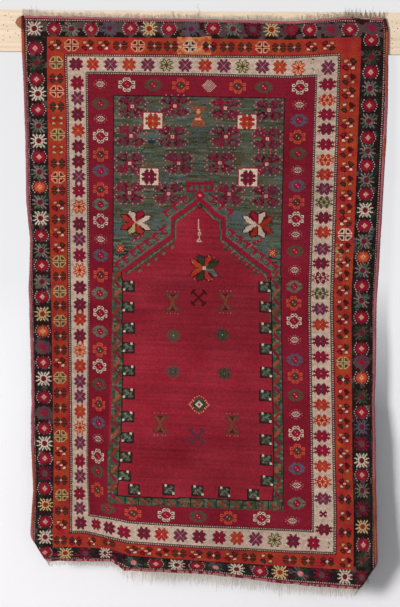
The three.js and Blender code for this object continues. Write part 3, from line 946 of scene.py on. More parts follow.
def drifts(random, rows, columns, size):
    """Slow cloudy change over the whole rug, about -1 to 1."""
    coarse = random.normal(0, 1, (rows // size + 3, columns // size + 3))
    down, over = np.arange(rows) / size, np.arange(columns) / size
    i, j = down.astype(int), over.astype(int)
    s, t = (down - i)[:, None], (over - j)[None, :]
    s, t = s * s * (3 - 2 * s), t * t * (3 - 2 * t)
    return (
        coarse[i][:, j] * (1 - s) * (1 - t) + coarse[i + 1][:, j] * s * (1 - t)
        + coarse[i][:, j + 1] * (1 - s) * t + coarse[i + 1][:, j + 1] * s * t
    )


# How bright the crimson field is dyed, down the rug.
FIELD_ABRASH = np.interp(
    np.arange(ROWS),
    (150, 185, 230, 255, 280, 300, 315, 345, 380, 440),
    (1, 1, 0.97, 0.93, 0.95, 1, 1.05, 1.03, 0.98, 1),
)


def dyed(knots, wools):
    """The linear colour of every knot, with abrash, fading and the wool's own unevenness."""
    random = np.random.default_rng(SEED + 1)
    colours = np.array([list(getattr(wools, name)) for name in WOOL_NAMES])[knots]
    shape = knots.shape

    def tied_in(*names):
        return np.isin(knots, numbers_of(*names))

    value = 1 + 0.035 * streaks(random, *shape, 40) + 0.03 * drifts(random, *shape, 30)
    value = value + 0.05 * random.normal(0, 1, shape)
    greens = tied_in("green", "grey_green", "forest", "teal")
    value = np.where(greens, value + 0.12 * streaks(random, *shape, 12), value)
    warm = streaks(random, *shape, 16)[..., None] * np.array([0.025, 0, -0.02])
    colours = np.where(greens[..., None], colours + warm, colours)
    value = np.where(tied_in("crimson"), value * FIELD_ABRASH[:, None] + 0.05 * streaks(random, *shape, 36), value)
    reds = tied_in("crimson", "border_red")
    colours = np.where(reds[..., None], colours + 0.012 * drifts(random, *shape, 18)[..., None], colours)
    shift = drifts(random, *shape, 7)[..., None] * np.array([0.012, 0.035, -0.01])
    colours = np.where(tied_in("orange")[..., None], colours + shift, colours)
    return linear(np.clip(colours * value[..., None], 0.015, 1))


# ---------------------------------------------------------------- meshes


def deselect():
    if bpy.context.mode != "OBJECT":
        bpy.ops.object.mode_set(mode="OBJECT")
    bpy.ops.object.select_all(action="DESELECT")


def select(piece):
    """Leaves that object alone selected, and active."""
    deselect()
    bpy.context.view_layer.objects.active = piece
    piece.select_set(True)


def read(items, name, width=1, kind=np.float32):
    """What each vertex, corner or face holds under that name: a number, or a row of them."""
    values = np.empty(len(items) * width, kind)
    items.foreach_get(name, values)
    return values.reshape(-1, width) if width > 1 else values


def net(name, wide, high):
    """A flat grid of wide by high cells, and each vertex's column and row, counted from the top left."""
    deselect()
    bpy.ops.mesh.primitive_grid_add(x_subdivisions=wide, y_subdivisions=high, size=2, calc_uvs=False)
    piece = bpy.context.object
    piece.name = piece.data.name = name
    place = read(piece.data.vertices, "co", 3)
    column = np.rint((place[:, 0] + 1) / 2 * wide).astype(int)
    row = np.rint((1 - place[:, 1]) / 2 * high).astype(int)
    if column.max() != wide or row.max() != high or len(place) != (wide + 1) * (high + 1):
        raise RuntimeError(f"{name}: the grid isn't {wide} by {high} cells")
    return piece, column, row


def move(piece, points):
    piece.data.vertices.foreach_set("co", np.asarray(points, np.float32).ravel())
    piece.data.update()


def corner_vertices(mesh):
    return read(mesh.loops, "vertex_index", kind=np.int32)


def face_sizes(mesh):
    return read(mesh.polygons, "loop_total", kind=np.int32)


def face_numbers(mesh):
    """The face of each corner."""
    return np.repeat(np.arange(len(mesh.polygons)), face_sizes(mesh))


def paint(mesh, colours, darkest=0):
    """One linear colour for each face, as the attribute that the wool finish reads."""
    layer = mesh.color_attributes.new("wool", "FLOAT_COLOR", "CORNER")
    rgba = np.concatenate([np.clip(colours, darkest, 1), np.ones((len(colours), 1))], axis=1)
    layer.data.foreach_set("color", rgba[face_numbers(mesh)].astype(np.float32).ravel())


def lay_corners(mesh, name, u, v):
    """A map from two values for each corner."""
    layer = mesh.uv_layers.new(name=name)
    layer.data.foreach_set("uv", np.stack([u, v], axis=1).astype(np.float32).ravel())


def lay_map(mesh, name, u, v):
    """A map from two values for each vertex."""
    corner = corner_vertices(mesh)
    lay_corners(mesh, name, u[corner], v[corner])


def delete_faces(piece, chosen):
    select(piece)
    mesh = piece.data
    for part in (mesh.vertices, mesh.edges):
        part.foreach_set("select", np.zeros(len(part), bool))
    mesh.polygons.foreach_set("select", chosen)
    bpy.ops.object.mode_set(mode="EDIT")
    bpy.ops.mesh.select_mode(type="FACE")
    bpy.ops.mesh.delete(type="FACE")
    bpy.ops.object.mode_set(mode="OBJECT")


def edit_all(piece, *steps):
    """Runs edit operators on the whole mesh: each step is an operator and its settings."""
    select(piece)
    bpy.ops.object.mode_set(mode="EDIT")
    bpy.ops.mesh.select_mode(type="VERT")
    bpy.ops.mesh.select_all(action="SELECT")
    for operator, settings in steps:
        operator(**settings)
    bpy.ops.object.mode_set(mode="OBJECT")


def first_of(mesh, count):
    """For each face the smallest count, of columns or rows, among its corners."""
    first = np.full(len(mesh.polygons), count.max())
    np.minimum.at(first, face_numbers(mesh), count[corner_vertices(mesh)])
    return first


def thicken(piece, millimetres):
    """Gives a sheet its thickness on the wall's side."""
    shell = piece.modifiers.new("Thickness", "SOLIDIFY")
    shell.thickness, shell.offset = millimetres * MM, -1
    select(piece)
    bpy.ops.object.modifier_apply(modifier=shell.name)


def lay_cells(mesh):
    """A baking map where every face has its own square in an even grid."""
    sizes, face = face_sizes(mesh), face_numbers(mesh)
    side = math.ceil(math.sqrt(len(sizes)))
    corner = np.arange(len(face)) - np.repeat(np.cumsum(sizes) - sizes, sizes)
    turn = 2 * np.pi * (corner + 0.5) / sizes[face]
    u, v = face % side + 0.5 + 0.5 * np.cos(turn), face // side + 0.5 + 0.5 * np.sin(turn)
    lay_corners(mesh, "OFBake", u / side, v / side)


def spun(context, name, yarns, radius, taper):
    """One mesh of round yarns, each through its own points, thinner towards its end as taper says."""
    curve = bpy.data.curves.new(name, "CURVE")
    curve.dimensions = "3D"
    curve.bevel_depth = radius
    curve.bevel_resolution = 0
    curve.use_fill_caps = True
    for points in yarns:
        spline = curve.splines.new("POLY")
        spline.points.add(len(points) - 1)
        spline.points.foreach_set("co", np.concatenate([points, np.ones((len(points), 1))], axis=1).ravel())
        spline.points.foreach_set("radius", taper)
    piece = bpy.data.objects.new(name, curve)
    context.collection.objects.link(piece)
    select(piece)
    bpy.ops.object.convert(target="MESH")
    piece = context.object
    while piece.data.uv_layers:
        piece.data.uv_layers.remove(piece.data.uv_layers[0])
    return piece


def smooth(piece):
    piece.data.polygons.foreach_set("use_smooth", np.ones(len(piece.data.polygons), bool))
    piece.data.update()


def finish_piece(piece, material):
    piece.data.materials.clear()
    piece.data.materials.append(material)
    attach(piece, BODY)
    return piece


# ---------------------------------------------------------------- finishes


class Value:
    """A number that varies over a surface. Sums on it add Math nodes."""

    def __init__(self, finish, socket):
        self.finish, self.socket = finish, socket

    def sum(self, operation, other=None, swapped=False):
        sides = [self, other] if other is not None else [self]
        if swapped:
            sides.reverse()
        made = self.finish.node("Math", {"operation": operation}, dict(enumerate(sides)))
        return Value(self.finish, made.outputs[0])

    def __add__(self, other):
        return self.sum("ADD", other)

    def __radd__(self, other):
        return self.sum("ADD", other, True)

    def __sub__(self, other):
        return self.sum("SUBTRACT", other)

    def __rsub__(self, other):
        return self.sum("SUBTRACT", other, True)

    def __mul__(self, other):
        return self.sum("MULTIPLY", other)

    def __rmul__(self, other):
        return self.sum("MULTIPLY", other, True)

    def __truediv__(self, other):
        return self.sum("DIVIDE", other)

    def __pow__(self, other):
        return self.sum("POWER", other)


class Finish:
    """One material being built."""

    def __init__(self, name, roughness, sheen=0.0):
        self.material = bpy.data.materials.new(name)
        self.material.use_nodes = True
        self.tree = self.material.node_tree
        self.shader = self.tree.nodes["Principled BSDF"]
        self.shader.inputs["Roughness"].default_value = roughness
        self.shader.inputs["Specular IOR Level"].default_value = 0.1
        self.shader.inputs["Sheen Weight"].default_value = sheen
        self.shader.inputs["Sheen Roughness"].default_value = 0.6

    def node(self, kind, settings=(), inputs=()):
        """A node of that type, its settings first and then the values or links of its sockets."""
        made = self.tree.nodes.new("ShaderNode" + kind)
        for key, value in dict(settings).items():
            if key == "stops":
                ramp = made.color_ramp
                while len(ramp.elements) < len(value):
                    ramp.elements.new(0.5)
                for element, (place, colour) in zip(ramp.elements, value):
                    element.position, element.color = place, (*colour, 1)
            else:
                setattr(made, key, value)
        for key, value in dict(inputs).items():
            self.feed(made.inputs[key], value)
        return made

    def feed(self, socket, value):
        if isinstance(value, Value):
            value = value.socket
        if isinstance(value, bpy.types.NodeSocket):
            self.tree.links.new(value, socket)
        else:
            socket.default_value = value

    def value(self, node, output=0):
        return Value(self, node.outputs[output])

    def noise(self, vector, scale, detail=2.0, roughness=0.5):
        made = self.node("TexNoise", {}, {"Vector": vector, "Scale": scale, "Detail": detail, "Roughness": roughness})
        return self.value(made, "Fac" if "Fac" in made.outputs else 0)

    def ramp(self, stops, value):
        """The colour that the stops give for a value."""
        return self.node("ValToRGB", {"stops": stops}, {"Fac": value}).outputs[0]

    def object_place(self, scale=(1, 1, 1)):
        place = self.node("TexCoord").outputs["Object"]
        return self.node("Mapping", {}, {"Vector": place, "Scale": scale}).outputs[0]

    def shaded(self, colour, value, saturation=1.0):
        """The colour with its brightness multiplied."""
        made = self.node("HueSaturation", {}, {"Color": colour, "Value": value, "Saturation": saturation})
        return made.outputs[0]

    def done(self, colour, height, depth, strength=1.0):
        """Ends with a colour, and a height in the bump that is depth metres for a height of 1."""
        self.feed(self.shader.inputs["Base Color"], colour)
        made = self.node("Bump", {}, {"Height": height, "Distance": depth, "Strength": strength})
        self.feed(self.shader.inputs["Normal"], made.outputs[0])
        return self.material


def wool_colour(finish):
    return finish.node("Attribute", {"attribute_name": "wool"}).outputs["Color"]


def knot_profile(finish, across, down):
    """A rounded nub for each knot, from the map that counts knots."""
    uv = finish.node("UVMap", {"uv_map": "knots"}).outputs[0]
    parts = finish.node("SeparateXYZ", {}, {0: uv})
    u, v = finish.value(parts, 0), finish.value(parts, 1)
    return [(part * (math.pi * often)).sum("SINE").sum("ABSOLUTE") for part, often in ((u, across), (v, down))]


def pile_finish():
    finish = Finish("knotted_wool_pile", 0.95)
    over, low = knot_profile(finish, 1, 1)
    place = finish.object_place()
    fibre = finish.noise(place, 1500, 3)
    tuft = finish.noise(place, 420, 2)
    nub = (over * low) ** 0.6
    # Painted shade: the colour darkens between the knots' nubs, besides the random fibre and tuft tone.
    shade = 0.8 + nub * 0.12 + (fibre - 0.5) * 0.42 + (tuft - 0.5) * 0.3
    height = nub * 0.5 + fibre * 0.5 + tuft * 0.6
    return finish.done(finish.shaded(wool_colour(finish), shade), height, 0.0012)


def back_finish():
    finish = Finish("woven_back", 0.95, 0.05)
    over, low = knot_profile(finish, 2, 1)
    fibre = finish.noise(finish.object_place(), 1500, 3)
    rib = (over ** 0.5) * (0.4 + low * 0.6)
    # Painted shade: the colour darkens between the woven ribs, besides the random fibre tone.
    shade = 0.66 + rib * 0.34 + (fibre - 0.5) * 0.3
    return finish.done(finish.shaded(wool_colour(finish), shade, 0.82), rib + fibre * 0.4, 0.001)


def yarn_finish(name, spread, depth):
    finish = Finish(name, 0.93, 0.1)
    place = finish.object_place()
    fibre = finish.noise(place, 1800, 3)
    tuft = finish.noise(place, 260, 2)
    shade = 1 - spread / 2 + (fibre - 0.5) * spread + (tuft - 0.5) * 0.25
    return finish.done(finish.shaded(wool_colour(finish), shade), fibre, depth)


def kilim_finish():
    finish = Finish("flat_woven_wool", 0.94, 0.1)
    over, low = knot_profile(finish, 2, 3)
    fibre = finish.noise(finish.object_place(), 1700, 3)
    weft = over * 0.6 + low * 0.4
    # Painted shade: the colour darkens between the weft passes, besides the random fibre tone.
    shade = 0.72 + weft * 0.3 + (fibre - 0.5) * 0.36
    return finish.done(finish.shaded(wool_colour(finish), shade), weft + fibre * 0.5, 0.0008)


def wood_finish():
    finish = Finish("limewashed_board", 0.72)
    grain = finish.noise(finish.object_place((1.4, 30, 46)), 3.2, 6, 0.62)
    pores = finish.noise(finish.object_place((9, 300, 330)), 2.2, 3)
    cloud = finish.noise(finish.object_place((1, 1, 2.4)), 3, 3)
    tone = grain * 0.62 + pores * 0.2 + cloud * 0.18
    colour = finish.ramp((
        (0.25, linear((0.72, 0.60, 0.47))), (0.46, linear((0.84, 0.755, 0.66))), (0.72, linear((0.88, 0.82, 0.745))),
    ), tone)
    return finish.done(colour, grain + pores * 0.4, 0.0006)


# Painted shade: the nail holes' dark colour stands in for the shade inside each hole, with some dirt.
def hole_shade_and_dirt_finish():
    finish = Finish("old_nail_hole", 0.9)
    dust = finish.noise(finish.object_place(), 900, 2)
    colour = finish.ramp(((0.3, linear((0.25, 0.19, 0.14))), (0.8, linear((0.5, 0.42, 0.33)))), dust)
    return finish.done(colour, dust, 0.0003)


# ---------------------------------------------------------------- pieces

FIELD_COLUMNS, FIELD_ROWS = (58, 266), (51, 459)
FOUNDATION_STEP = 2
# Millimetres: how unevenly the knots stand, how far the pile's edges stay off the wall's side, and the
# ground cloth's place and thickness.
KNOT_SWAY = 0.28
SKIRT_GAP = 0.6
BACK_LIFT, BACK_THICKNESS = 1.2, 4.1
# The share of undyed warp in the back's colour.
WARP_SHOWN = 0.1


def pile_relief(knots, sizes):
    """Height of the pile at each crossing of knot lines, in millimetres over its usual face."""
    random = np.random.default_rng(SEED + 2)
    shape = (ROWS + 1, COLUMNS + 1)
    wear = drifts(random, *shape, 26) * 0.3 + drifts(random, *shape, 7) * 0.22
    tufts = random.normal(0, 0.12, shape)
    low = np.isin(knots, numbers_of("brown_black", "navy", "plum_black", "bottle_green"))
    corroded = np.zeros(shape)
    for rows in (slice(0, ROWS), slice(1, ROWS + 1)):
        for columns in (slice(0, COLUMNS), slice(1, COLUMNS + 1)):
            corroded[rows, columns] += low * 0.25
    return wear + tufts - corroded * sizes.pile_relief / MM


def pile_net(name, columns, rows, skirt):
    """Pile over a block of knots. A skirt is that many cells more, which turn down at the rug's own edges."""
    wide, high = columns[1] - columns[0], rows[1] - rows[0]
    piece, column, row = net(name, wide + 2 * skirt, high + 2 * skirt)
    at_column, at_row = np.clip(column - skirt, 0, wide), np.clip(row - skirt, 0, high)
    edge = (at_column != column - skirt) | (at_row != row - skirt)
    return piece, at_column + columns[0], at_row + rows[0], edge


class RUG_OT_pile(bpy.types.Operator):
    """Tie the knotted pile, one mesh cell for each knot"""

    bl_idname = "rug.pile"
    bl_label = "Knotted pile"

    def execute(self, context):
        knots = knot_plan()
        colours = dyed(knots, context.scene.rug_wools)
        relief = pile_relief(knots, context.scene.rug_sizes)
        material = pile_finish()
        random = np.random.default_rng(SEED + 3)
        sway_x, sway_z = random.normal(0, KNOT_SWAY, (2, *relief.shape))
        for name, columns, rows, skirt in (
            ("pile_borders", (0, COLUMNS), (0, ROWS), 1),
            ("pile_field", FIELD_COLUMNS, FIELD_ROWS, 0),
        ):
            piece, column, row, edge = pile_net(name, columns, rows, skirt)
            x, z = flat_place(column, row)
            x, z = x + sway_x[row, column], z + sway_z[row, column]
            lift = np.where(edge, SKIRT_GAP - PILE_THICKNESS / 2, PILE_THICKNESS / 2 + relief[row, column])
            move(piece, hang(x, z, lift))
            mesh = piece.data
            cell_column = np.minimum(first_of(mesh, column), COLUMNS - 1)
            cell_row = np.minimum(first_of(mesh, row), ROWS - 1)
            paint(mesh, colours[cell_row, cell_column])
            wide, high = columns[1] - columns[0], rows[1] - rows[0]
            lay_map(mesh, "OFBake", (column - columns[0]) / wide, (rows[1] - row) / high)
            lay_map(mesh, "knots", column, row)
            if skirt:
                inside = (
                    (cell_column >= FIELD_COLUMNS[0]) & (cell_column < FIELD_COLUMNS[1])
                    & (cell_row >= FIELD_ROWS[0]) & (cell_row < FIELD_ROWS[1])
                )
                delete_faces(piece, inside)
            smooth(piece)
            finish_piece(piece, material)
        return {"FINISHED"}


class RUG_OT_foundation(bpy.types.Operator):
    """Weave the ground cloth that carries the knots and shows as the rug's back"""

    bl_idname = "rug.foundation"
    bl_label = "Woven back"

    def execute(self, context):
        wide, high = COLUMNS // FOUNDATION_STEP, ROWS // FOUNDATION_STEP
        piece, column, row = net("woven_back", wide, high)
        x, z = flat_place(column * FOUNDATION_STEP, row * FOUNDATION_STEP)
        random = np.random.default_rng(SEED + 4)
        move(piece, hang(x, z, BACK_LIFT + random.normal(0, 0.06, len(x))))
        mesh = piece.data
        wools = context.scene.rug_wools
        rows, columns = first_of(mesh, row) * FOUNDATION_STEP, first_of(mesh, column) * FOUNDATION_STEP
        knots_shown = dyed(knot_plan(), wools)[rows, columns]
        paint(mesh, (1 - WARP_SHOWN) * knots_shown + WARP_SHOWN * wool(wools, "beige"))
        lay_map(mesh, "OFBake", column / wide / 2, 1 - row / high)
        lay_map(mesh, "knots", column * FOUNDATION_STEP, row * FOUNDATION_STEP)
        thicken(piece, BACK_THICKNESS)
        self.part_maps(piece.data)
        smooth(piece)
        finish_piece(piece, back_finish())
        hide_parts("pile_carpet")
        return {"FINISHED"}

    def part_maps(self, mesh):
        """Moves the back faces' baking places beside the front ones'."""
        faces_back = read(mesh.polygons, "normal", 3)[:, 1] > 0
        layer = mesh.uv_layers["OFBake"]
        places = read(layer.data, "uv", 2)
        places[:, 0] += 0.5 * faces_back[face_numbers(mesh)]
        layer.data.foreach_set("uv", places.ravel())


# The darkest that uneven dyeing makes coloured yarn and pale yarn, in linear colour.
YARN_DARKEST, PALE_DARKEST = 0.004, 0.01
FLAP_THICKNESS = 1.2


class RUG_OT_selvedges(bpy.types.Operator):
    """Overcast the two long sides with wool yarn"""

    bl_idname = "rug.selvedges"
    bl_label = "Overcast selvedges"

    AROUND = 10
    RINGS_PER_WRAP = 4
    WRAPS_PER_TONE = 20
    MITRE_RINGS = 3

    # Places down each side, as shares of its length, where the yarn's colour changes.
    STRETCHES = {
        "left": ((0, "oxblood"), (0.026, "brick"), (0.075, "mauve"), (0.8, "brick"), (0.93, "mauve")),
        "right": ((0, "oxblood"), (0.018, "brick"), (0.135, "mauve"), (0.205, "brick"), (0.245, "mauve"),
                  (0.8, "brick"), (0.95, "mauve")),
    }

    def execute(self, context):
        pitch = context.scene.rug_sizes.wrap_pitch / MM
        material = yarn_finish("overcast_wool_yarn", 0.4, 0.0005)
        for number, (side, stretches) in enumerate(self.STRETCHES.items()):
            column, inward = (1, 1) if side == "left" else (2, -1)
            random = np.random.default_rng(SEED + 10 + number)
            wraps = int(LENGTH_NOMINAL / pitch)
            rings = wraps * self.RINGS_PER_WRAP
            piece, around, ring = net(f"selvedge_{side}_yarn", self.AROUND, rings)
            share = ring / rings
            drop = share * LENGTH_NOMINAL
            edge = side_at(column, drop)
            height = end_at(1, edge) * (1 - share) + end_at(2, edge) * share
            turn = 2 * np.pi * around / self.AROUND
            slant = np.sin(turn) * 0.9 * inward
            phase = ring / self.RINGS_PER_WRAP
            nub = np.abs(np.sin(np.pi * phase))
            fat = random.normal(1, 0.05, wraps + 2)[phase.astype(int)]
            wobble = np.interp(drop, np.arange(0, 1800, 30), random.normal(0, 0.45, 60))
            swell = (0.86 + 0.14 * nub) * fat
            ends = np.clip(np.minimum(ring, rings - ring) / self.MITRE_RINGS, 0, 1) ** 0.5
            across = edge + inward * SELVEDGE_WIDTH / 2 + wobble
            across = across - inward * np.cos(turn) * SELVEDGE_WIDTH / 2 * 1.08 * swell * ends
            lift = np.sin(turn) * SELVEDGE_THICKNESS / 2 * swell * ends
            move(piece, hang(across, height + slant, lift))
            mesh = piece.data
            wrap = first_of(mesh, ring) // self.RINGS_PER_WRAP
            starts = [at for at, _ in stretches]
            shades = np.array([wool(context.scene.rug_wools, name) for _, name in stretches])
            blurred = np.clip(wrap / wraps + random.normal(0, 0.004, wraps + 1)[wrap], 0, 1)
            colour = shades[np.searchsorted(starts, blurred, side="right") - 1]
            stations = np.arange(0, wraps + self.WRAPS_PER_TONE, self.WRAPS_PER_TONE)
            tones = random.normal(0, 0.12, wraps // self.WRAPS_PER_TONE + 2)
            value = 1 + np.interp(wrap, stations, tones[:len(stations)]) + random.normal(0, 0.09, wraps + 1)[wrap]
            paint(mesh, colour * value[:, None], YARN_DARKEST)
            lay_map(mesh, "OFBake", around / self.AROUND, 1 - ring / rings)
            edit_all(
                piece,
                (bpy.ops.mesh.remove_doubles, {"threshold": 0.00002}),
                (bpy.ops.mesh.normals_make_consistent, {"inside": False}),
            )
            smooth(piece)
            finish_piece(piece, material)
            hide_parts(f"selvedge_{side}")
        self.flap(context, material)
        return {"FINISHED"}

    def flap(self, context, material):
        """The scrap of binding that has come loose at the left edge's top."""
        wide, high = 8, 12
        piece, column, row = net("loose_binding_flap", wide, high)
        upper, lower = from_picture(21, np.array([15.4, 28.2]))[1]
        down, out = row / high, column / wide
        z = upper + (lower - upper) * down
        bulge = 17 * np.sin(np.pi * down) ** 0.7
        x = side_at(1, 0) + 4 - (bulge + 4) * (1 - out)
        lift = 1 + 3.2 * np.sin(np.pi * down) * (1 - out) + 0.8 * np.sin(9 * down + 3 * out)
        move(piece, hang(x, z, lift))
        mesh = piece.data
        tone = np.random.default_rng(SEED + 12).normal(1, 0.16, (len(mesh.polygons), 1))
        paint(mesh, wool(context.scene.rug_wools, "tan") * tone, PALE_DARKEST)
        lay_map(mesh, "OFBake", column / wide / 2, 1 - row / high)
        thicken(piece, FLAP_THICKNESS)
        smooth(piece)
        finish_piece(piece, material)


# Single warp ends that stray from the others, each through places in the picture, and how far off the wall.
STRAYS = {
    "top": (
        (((31, 12), (31.4, 8.5), (30.8, 5)), 24), (((36, 12), (36.5, 9), (36, 6)), 24),
        (((198, 14), (199.6, 9.5), (196.8, 6), (198.8, 3)), 25), (((346, 13), (345.4, 9), (346, 6.6)), 24),
        (((373.4, 14), (373, 10), (373.6, 6.4)), 24), (((387, 15), (387.6, 12), (387, 9.6)), 23),
    ),
    "hem": tuple(
        (((366 + 0.35 * at, 577.5), (366.6 + 0.4 * at, 580.5), (365.8 + 0.7 * at, 583.6)), 38) for at in range(6)
    ),
}
# Each end: its outward sign, its column in ENDS, and its row in SIDES.
END_LINES = {"top": (1, 1, SIDES[0]), "hem": (-1, 2, SIDES[-1])}
STRIP_CELLS, STRIP_ROWS = 640, 6
STRIP_THICKNESS = 2.4
# Where the top strip is worn through, in millimetres across the rug, and how much.
WORN_PLACE, WORN_SHARE = (448, 462, 500, 512), (0, 1, 1, 0)
# The fringe by its places across the rug: its length, as a share of the usual one, and how brown it is.
FRINGE_LENGTH = {
    "top": ((-540, -500, 400, 460, 545), (1.25, 0.85, 0.85, 1.3, 1.2)),
    "hem": ((-480, -290, -250, 250, 430), (0.6, 0.62, 0.95, 0.95, 0.8)),
}
FRINGE_BROWN = {
    "top": ((-545, -480, -200, 200, 440, 460), (0.7, 0.3, 0.1, 0.3, 0.35, 1)),
    "hem": ((-480, 0, 300, 440), (0.05, 0.08, 0.12, 0.25)),
}
# The worn corner's warp ends lean together in tufts.
TUFT_SPACING = 14
TUFT_PULL = ((440, 456), (0, 0.8))
YARN_POINTS = 7
# How far inside the rug's end a warp end starts.
FRINGE_ROOT = 3


def random_along(random, at, step, middle, spread):
    """An even random curve: drawn at every step, and read off at places."""
    low = float(np.min(at)) - step
    stations = np.arange(low, float(np.max(at)) + 2 * step, step)
    return np.interp(at, stations, random.normal(middle, spread, len(stations)))


class RUG_OT_ends(bpy.types.Operator):
    """Weave the flat end strips and leave the warp ends as fringe"""

    bl_idname = "rug.ends"
    bl_label = "Flat-woven ends and fringe"

    def execute(self, context):
        weave = kilim_finish()
        warp = yarn_finish("loose_warp_wool", 0.4, 0.0004)
        for number, end in enumerate(("top", "hem")):
            strip = self.strip(context, end, weave, np.random.default_rng(SEED + 20 + number))
            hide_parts(f"fringed_end_{end}")
            self.fringe(context, end, warp, np.random.default_rng(SEED + 30 + number))
        return {"FINISHED"}

    def strip(self, context, end, material, random):
        """The narrow strip of flat weave, between the pile and the warp ends."""
        piece, column, row = net(f"flat_weave_{end}", STRIP_CELLS, STRIP_ROWS)
        top = end == "top"
        outward, line, sides = END_LINES[end]
        inset = SELVEDGE_WIDTH * 0.6
        x = sides[1] + inset + (sides[2] - sides[1] - 2 * inset) * column / STRIP_CELLS
        depth = row / STRIP_ROWS if top else 1 - row / STRIP_ROWS
        reach = random_along(random, column, 8, 0, 0.8)
        reach = reach - (4 * np.interp(x, WORN_PLACE, WORN_SHARE) if top else 3)
        inner = (PILE_INSET_TOP if top else PILE_INSET_HEM) + 2.5
        z = end_at(line, x) + outward * np.maximum(reach * (1 - depth) - depth * inner, -inner)
        weave = 0.25 * ((column + row) % 2) + random.normal(0, 0.06, len(x))
        move(piece, hang(x, z, 1.0 + weave))
        mesh = piece.data
        cell = first_of(mesh, column)
        wools = context.scene.rug_wools
        share = np.clip(random_along(random, cell, 12, 0.6, 0.3), 0, 1)[:, None]
        share = 0.7 + 0.3 * share if top else 0.45 + 0.55 * share
        colour = wool(wools, "kilim_rose") * share + wool(wools, "rose_ivory") * (1 - share)
        if top:
            across = sides[1] + (sides[2] - sides[1]) * cell / STRIP_CELLS
            dark = random.random(len(cell)) < 0.9 * np.interp(across, WORN_PLACE, WORN_SHARE)
        else:
            dark = (random.random(STRIP_CELLS // 3 + 1) < 0.35)[cell // 3]
        colour = np.where(dark[:, None], wool(wools, "oxblood" if top else "maroon"), colour)
        tone = 1 + random.normal(0, 0.12, len(cell))[:, None]
        paint(mesh, colour * tone, YARN_DARKEST)
        lay_map(mesh, "OFBake", column / STRIP_CELLS, 1 - row / STRIP_ROWS)
        lay_map(mesh, "knots", column / 2, row / 2)
        thicken(piece, STRIP_THICKNESS)
        smooth(piece)
        return finish_piece(piece, material)

    def fringe(self, context, end, material, random):
        """Loose warp ends: curves with a round section, joined as one mesh."""
        sizes, wools = context.scene.rug_sizes, context.scene.rug_wools
        top = end == "top"
        outward, line, sides = END_LINES[end]
        places = np.arange(sides[1] + 3, sides[2] - 3, sizes.warp_pitch / MM)
        count = len(places)
        along = np.linspace(0, 1, YARN_POINTS)
        length = (sizes.top_fringe if top else sizes.hem_fringe) / MM
        length = length * np.clip(random.normal(1, 0.24, count), 0.3, 1.7)
        length = length * random_along(random, places, 45, 1, 0.15)
        lean = random_along(random, places, 7, 0, 2.2) + random.normal(0, 1.4, count)
        length = length * np.interp(places, *FRINGE_LENGTH[end])
        if top:
            to_tuft = np.round(places / TUFT_SPACING) * TUFT_SPACING - places
            lean = lean + to_tuft * np.interp(places, *TUFT_PULL)
        share = np.clip(np.interp(places, *FRINGE_BROWN[end]) + random.normal(0, 0.16, count), 0, 1)[:, None]
        curl, depth = random.normal(0, 1.6, count), random.normal(0, 0.8, count)
        yarns = []
        for number, place in enumerate(places):
            turns = np.sin(along * (2.5 + 1.5 * random.random()) + 6 * random.random())
            x = place + lean[number] * along ** 1.3 + turns * curl[number] * along
            x = x + random.normal(0, 0.25, YARN_POINTS) * along
            z = end_at(line, place) + outward * (length[number] * along - FRINGE_ROOT)
            lift = 0.2 + depth[number] * along + random.normal(0, 0.3, YARN_POINTS) * along
            yarns.append(hang(x, z, lift))
        for stray, off in STRAYS[end]:
            x, z = from_picture(*np.array(stray, float).T)
            at = np.linspace(0, 1, len(x))
            x, z = np.interp(along, at, x), np.interp(along, at, z)
            yarns.append(np.stack([x, np.full(YARN_POINTS, -off), z], -1) * MM)
        piece = spun(context, f"fringe_{end}", yarns, sizes.yarn_radius, 1.05 - 0.5 * along)
        mesh = piece.data
        share = np.concatenate([share, np.full((len(STRAYS[end]), 1), 0.6 if top else 0.0)])
        colour = wool(wools, "warp_white") * (1 - share) + wool(wools, "warp_brown") * share
        colour = colour * random.normal(1, 0.09, (len(yarns), 1))
        yarn = np.arange(len(mesh.polygons)) // (len(mesh.polygons) // len(yarns))
        paint(mesh, colour[yarn], PALE_DARKEST)
        lay_cells(mesh)
        smooth(piece)
        return finish_piece(piece, material)


# ---------------------------------------------------------------- board, stage and camera

# The nail holes' places in the picture. In millimetres, how deep each is drawn and where its middle lies before the
# board's face. Each hole is a dark disc that stands a little proud of the face: its colour is partly painted shade of
# the hole and partly dirt.
HOLE_DEPTH, HOLE_PROUD = 0.5, 0.05
NAIL_HOLES = (
    (8.3, 13.2), (4.9, 15), (10.7, 16.5), (12.7, 19.9), (15.4, 22.3), (3.1, 24.3), (6.9, 26.1), (7.4, 30.4),
    (15.4, 32.6), (18.3, 34.8), (2.9, 35.5), (9.6, 36.6), (2.9, 39.5), (392.5, 21), (397, 22.3), (393, 26.3),
    (398, 28), (394.7, 31.2), (392.3, 38), (392.5, 42.9), (392.5, 48.2),
)


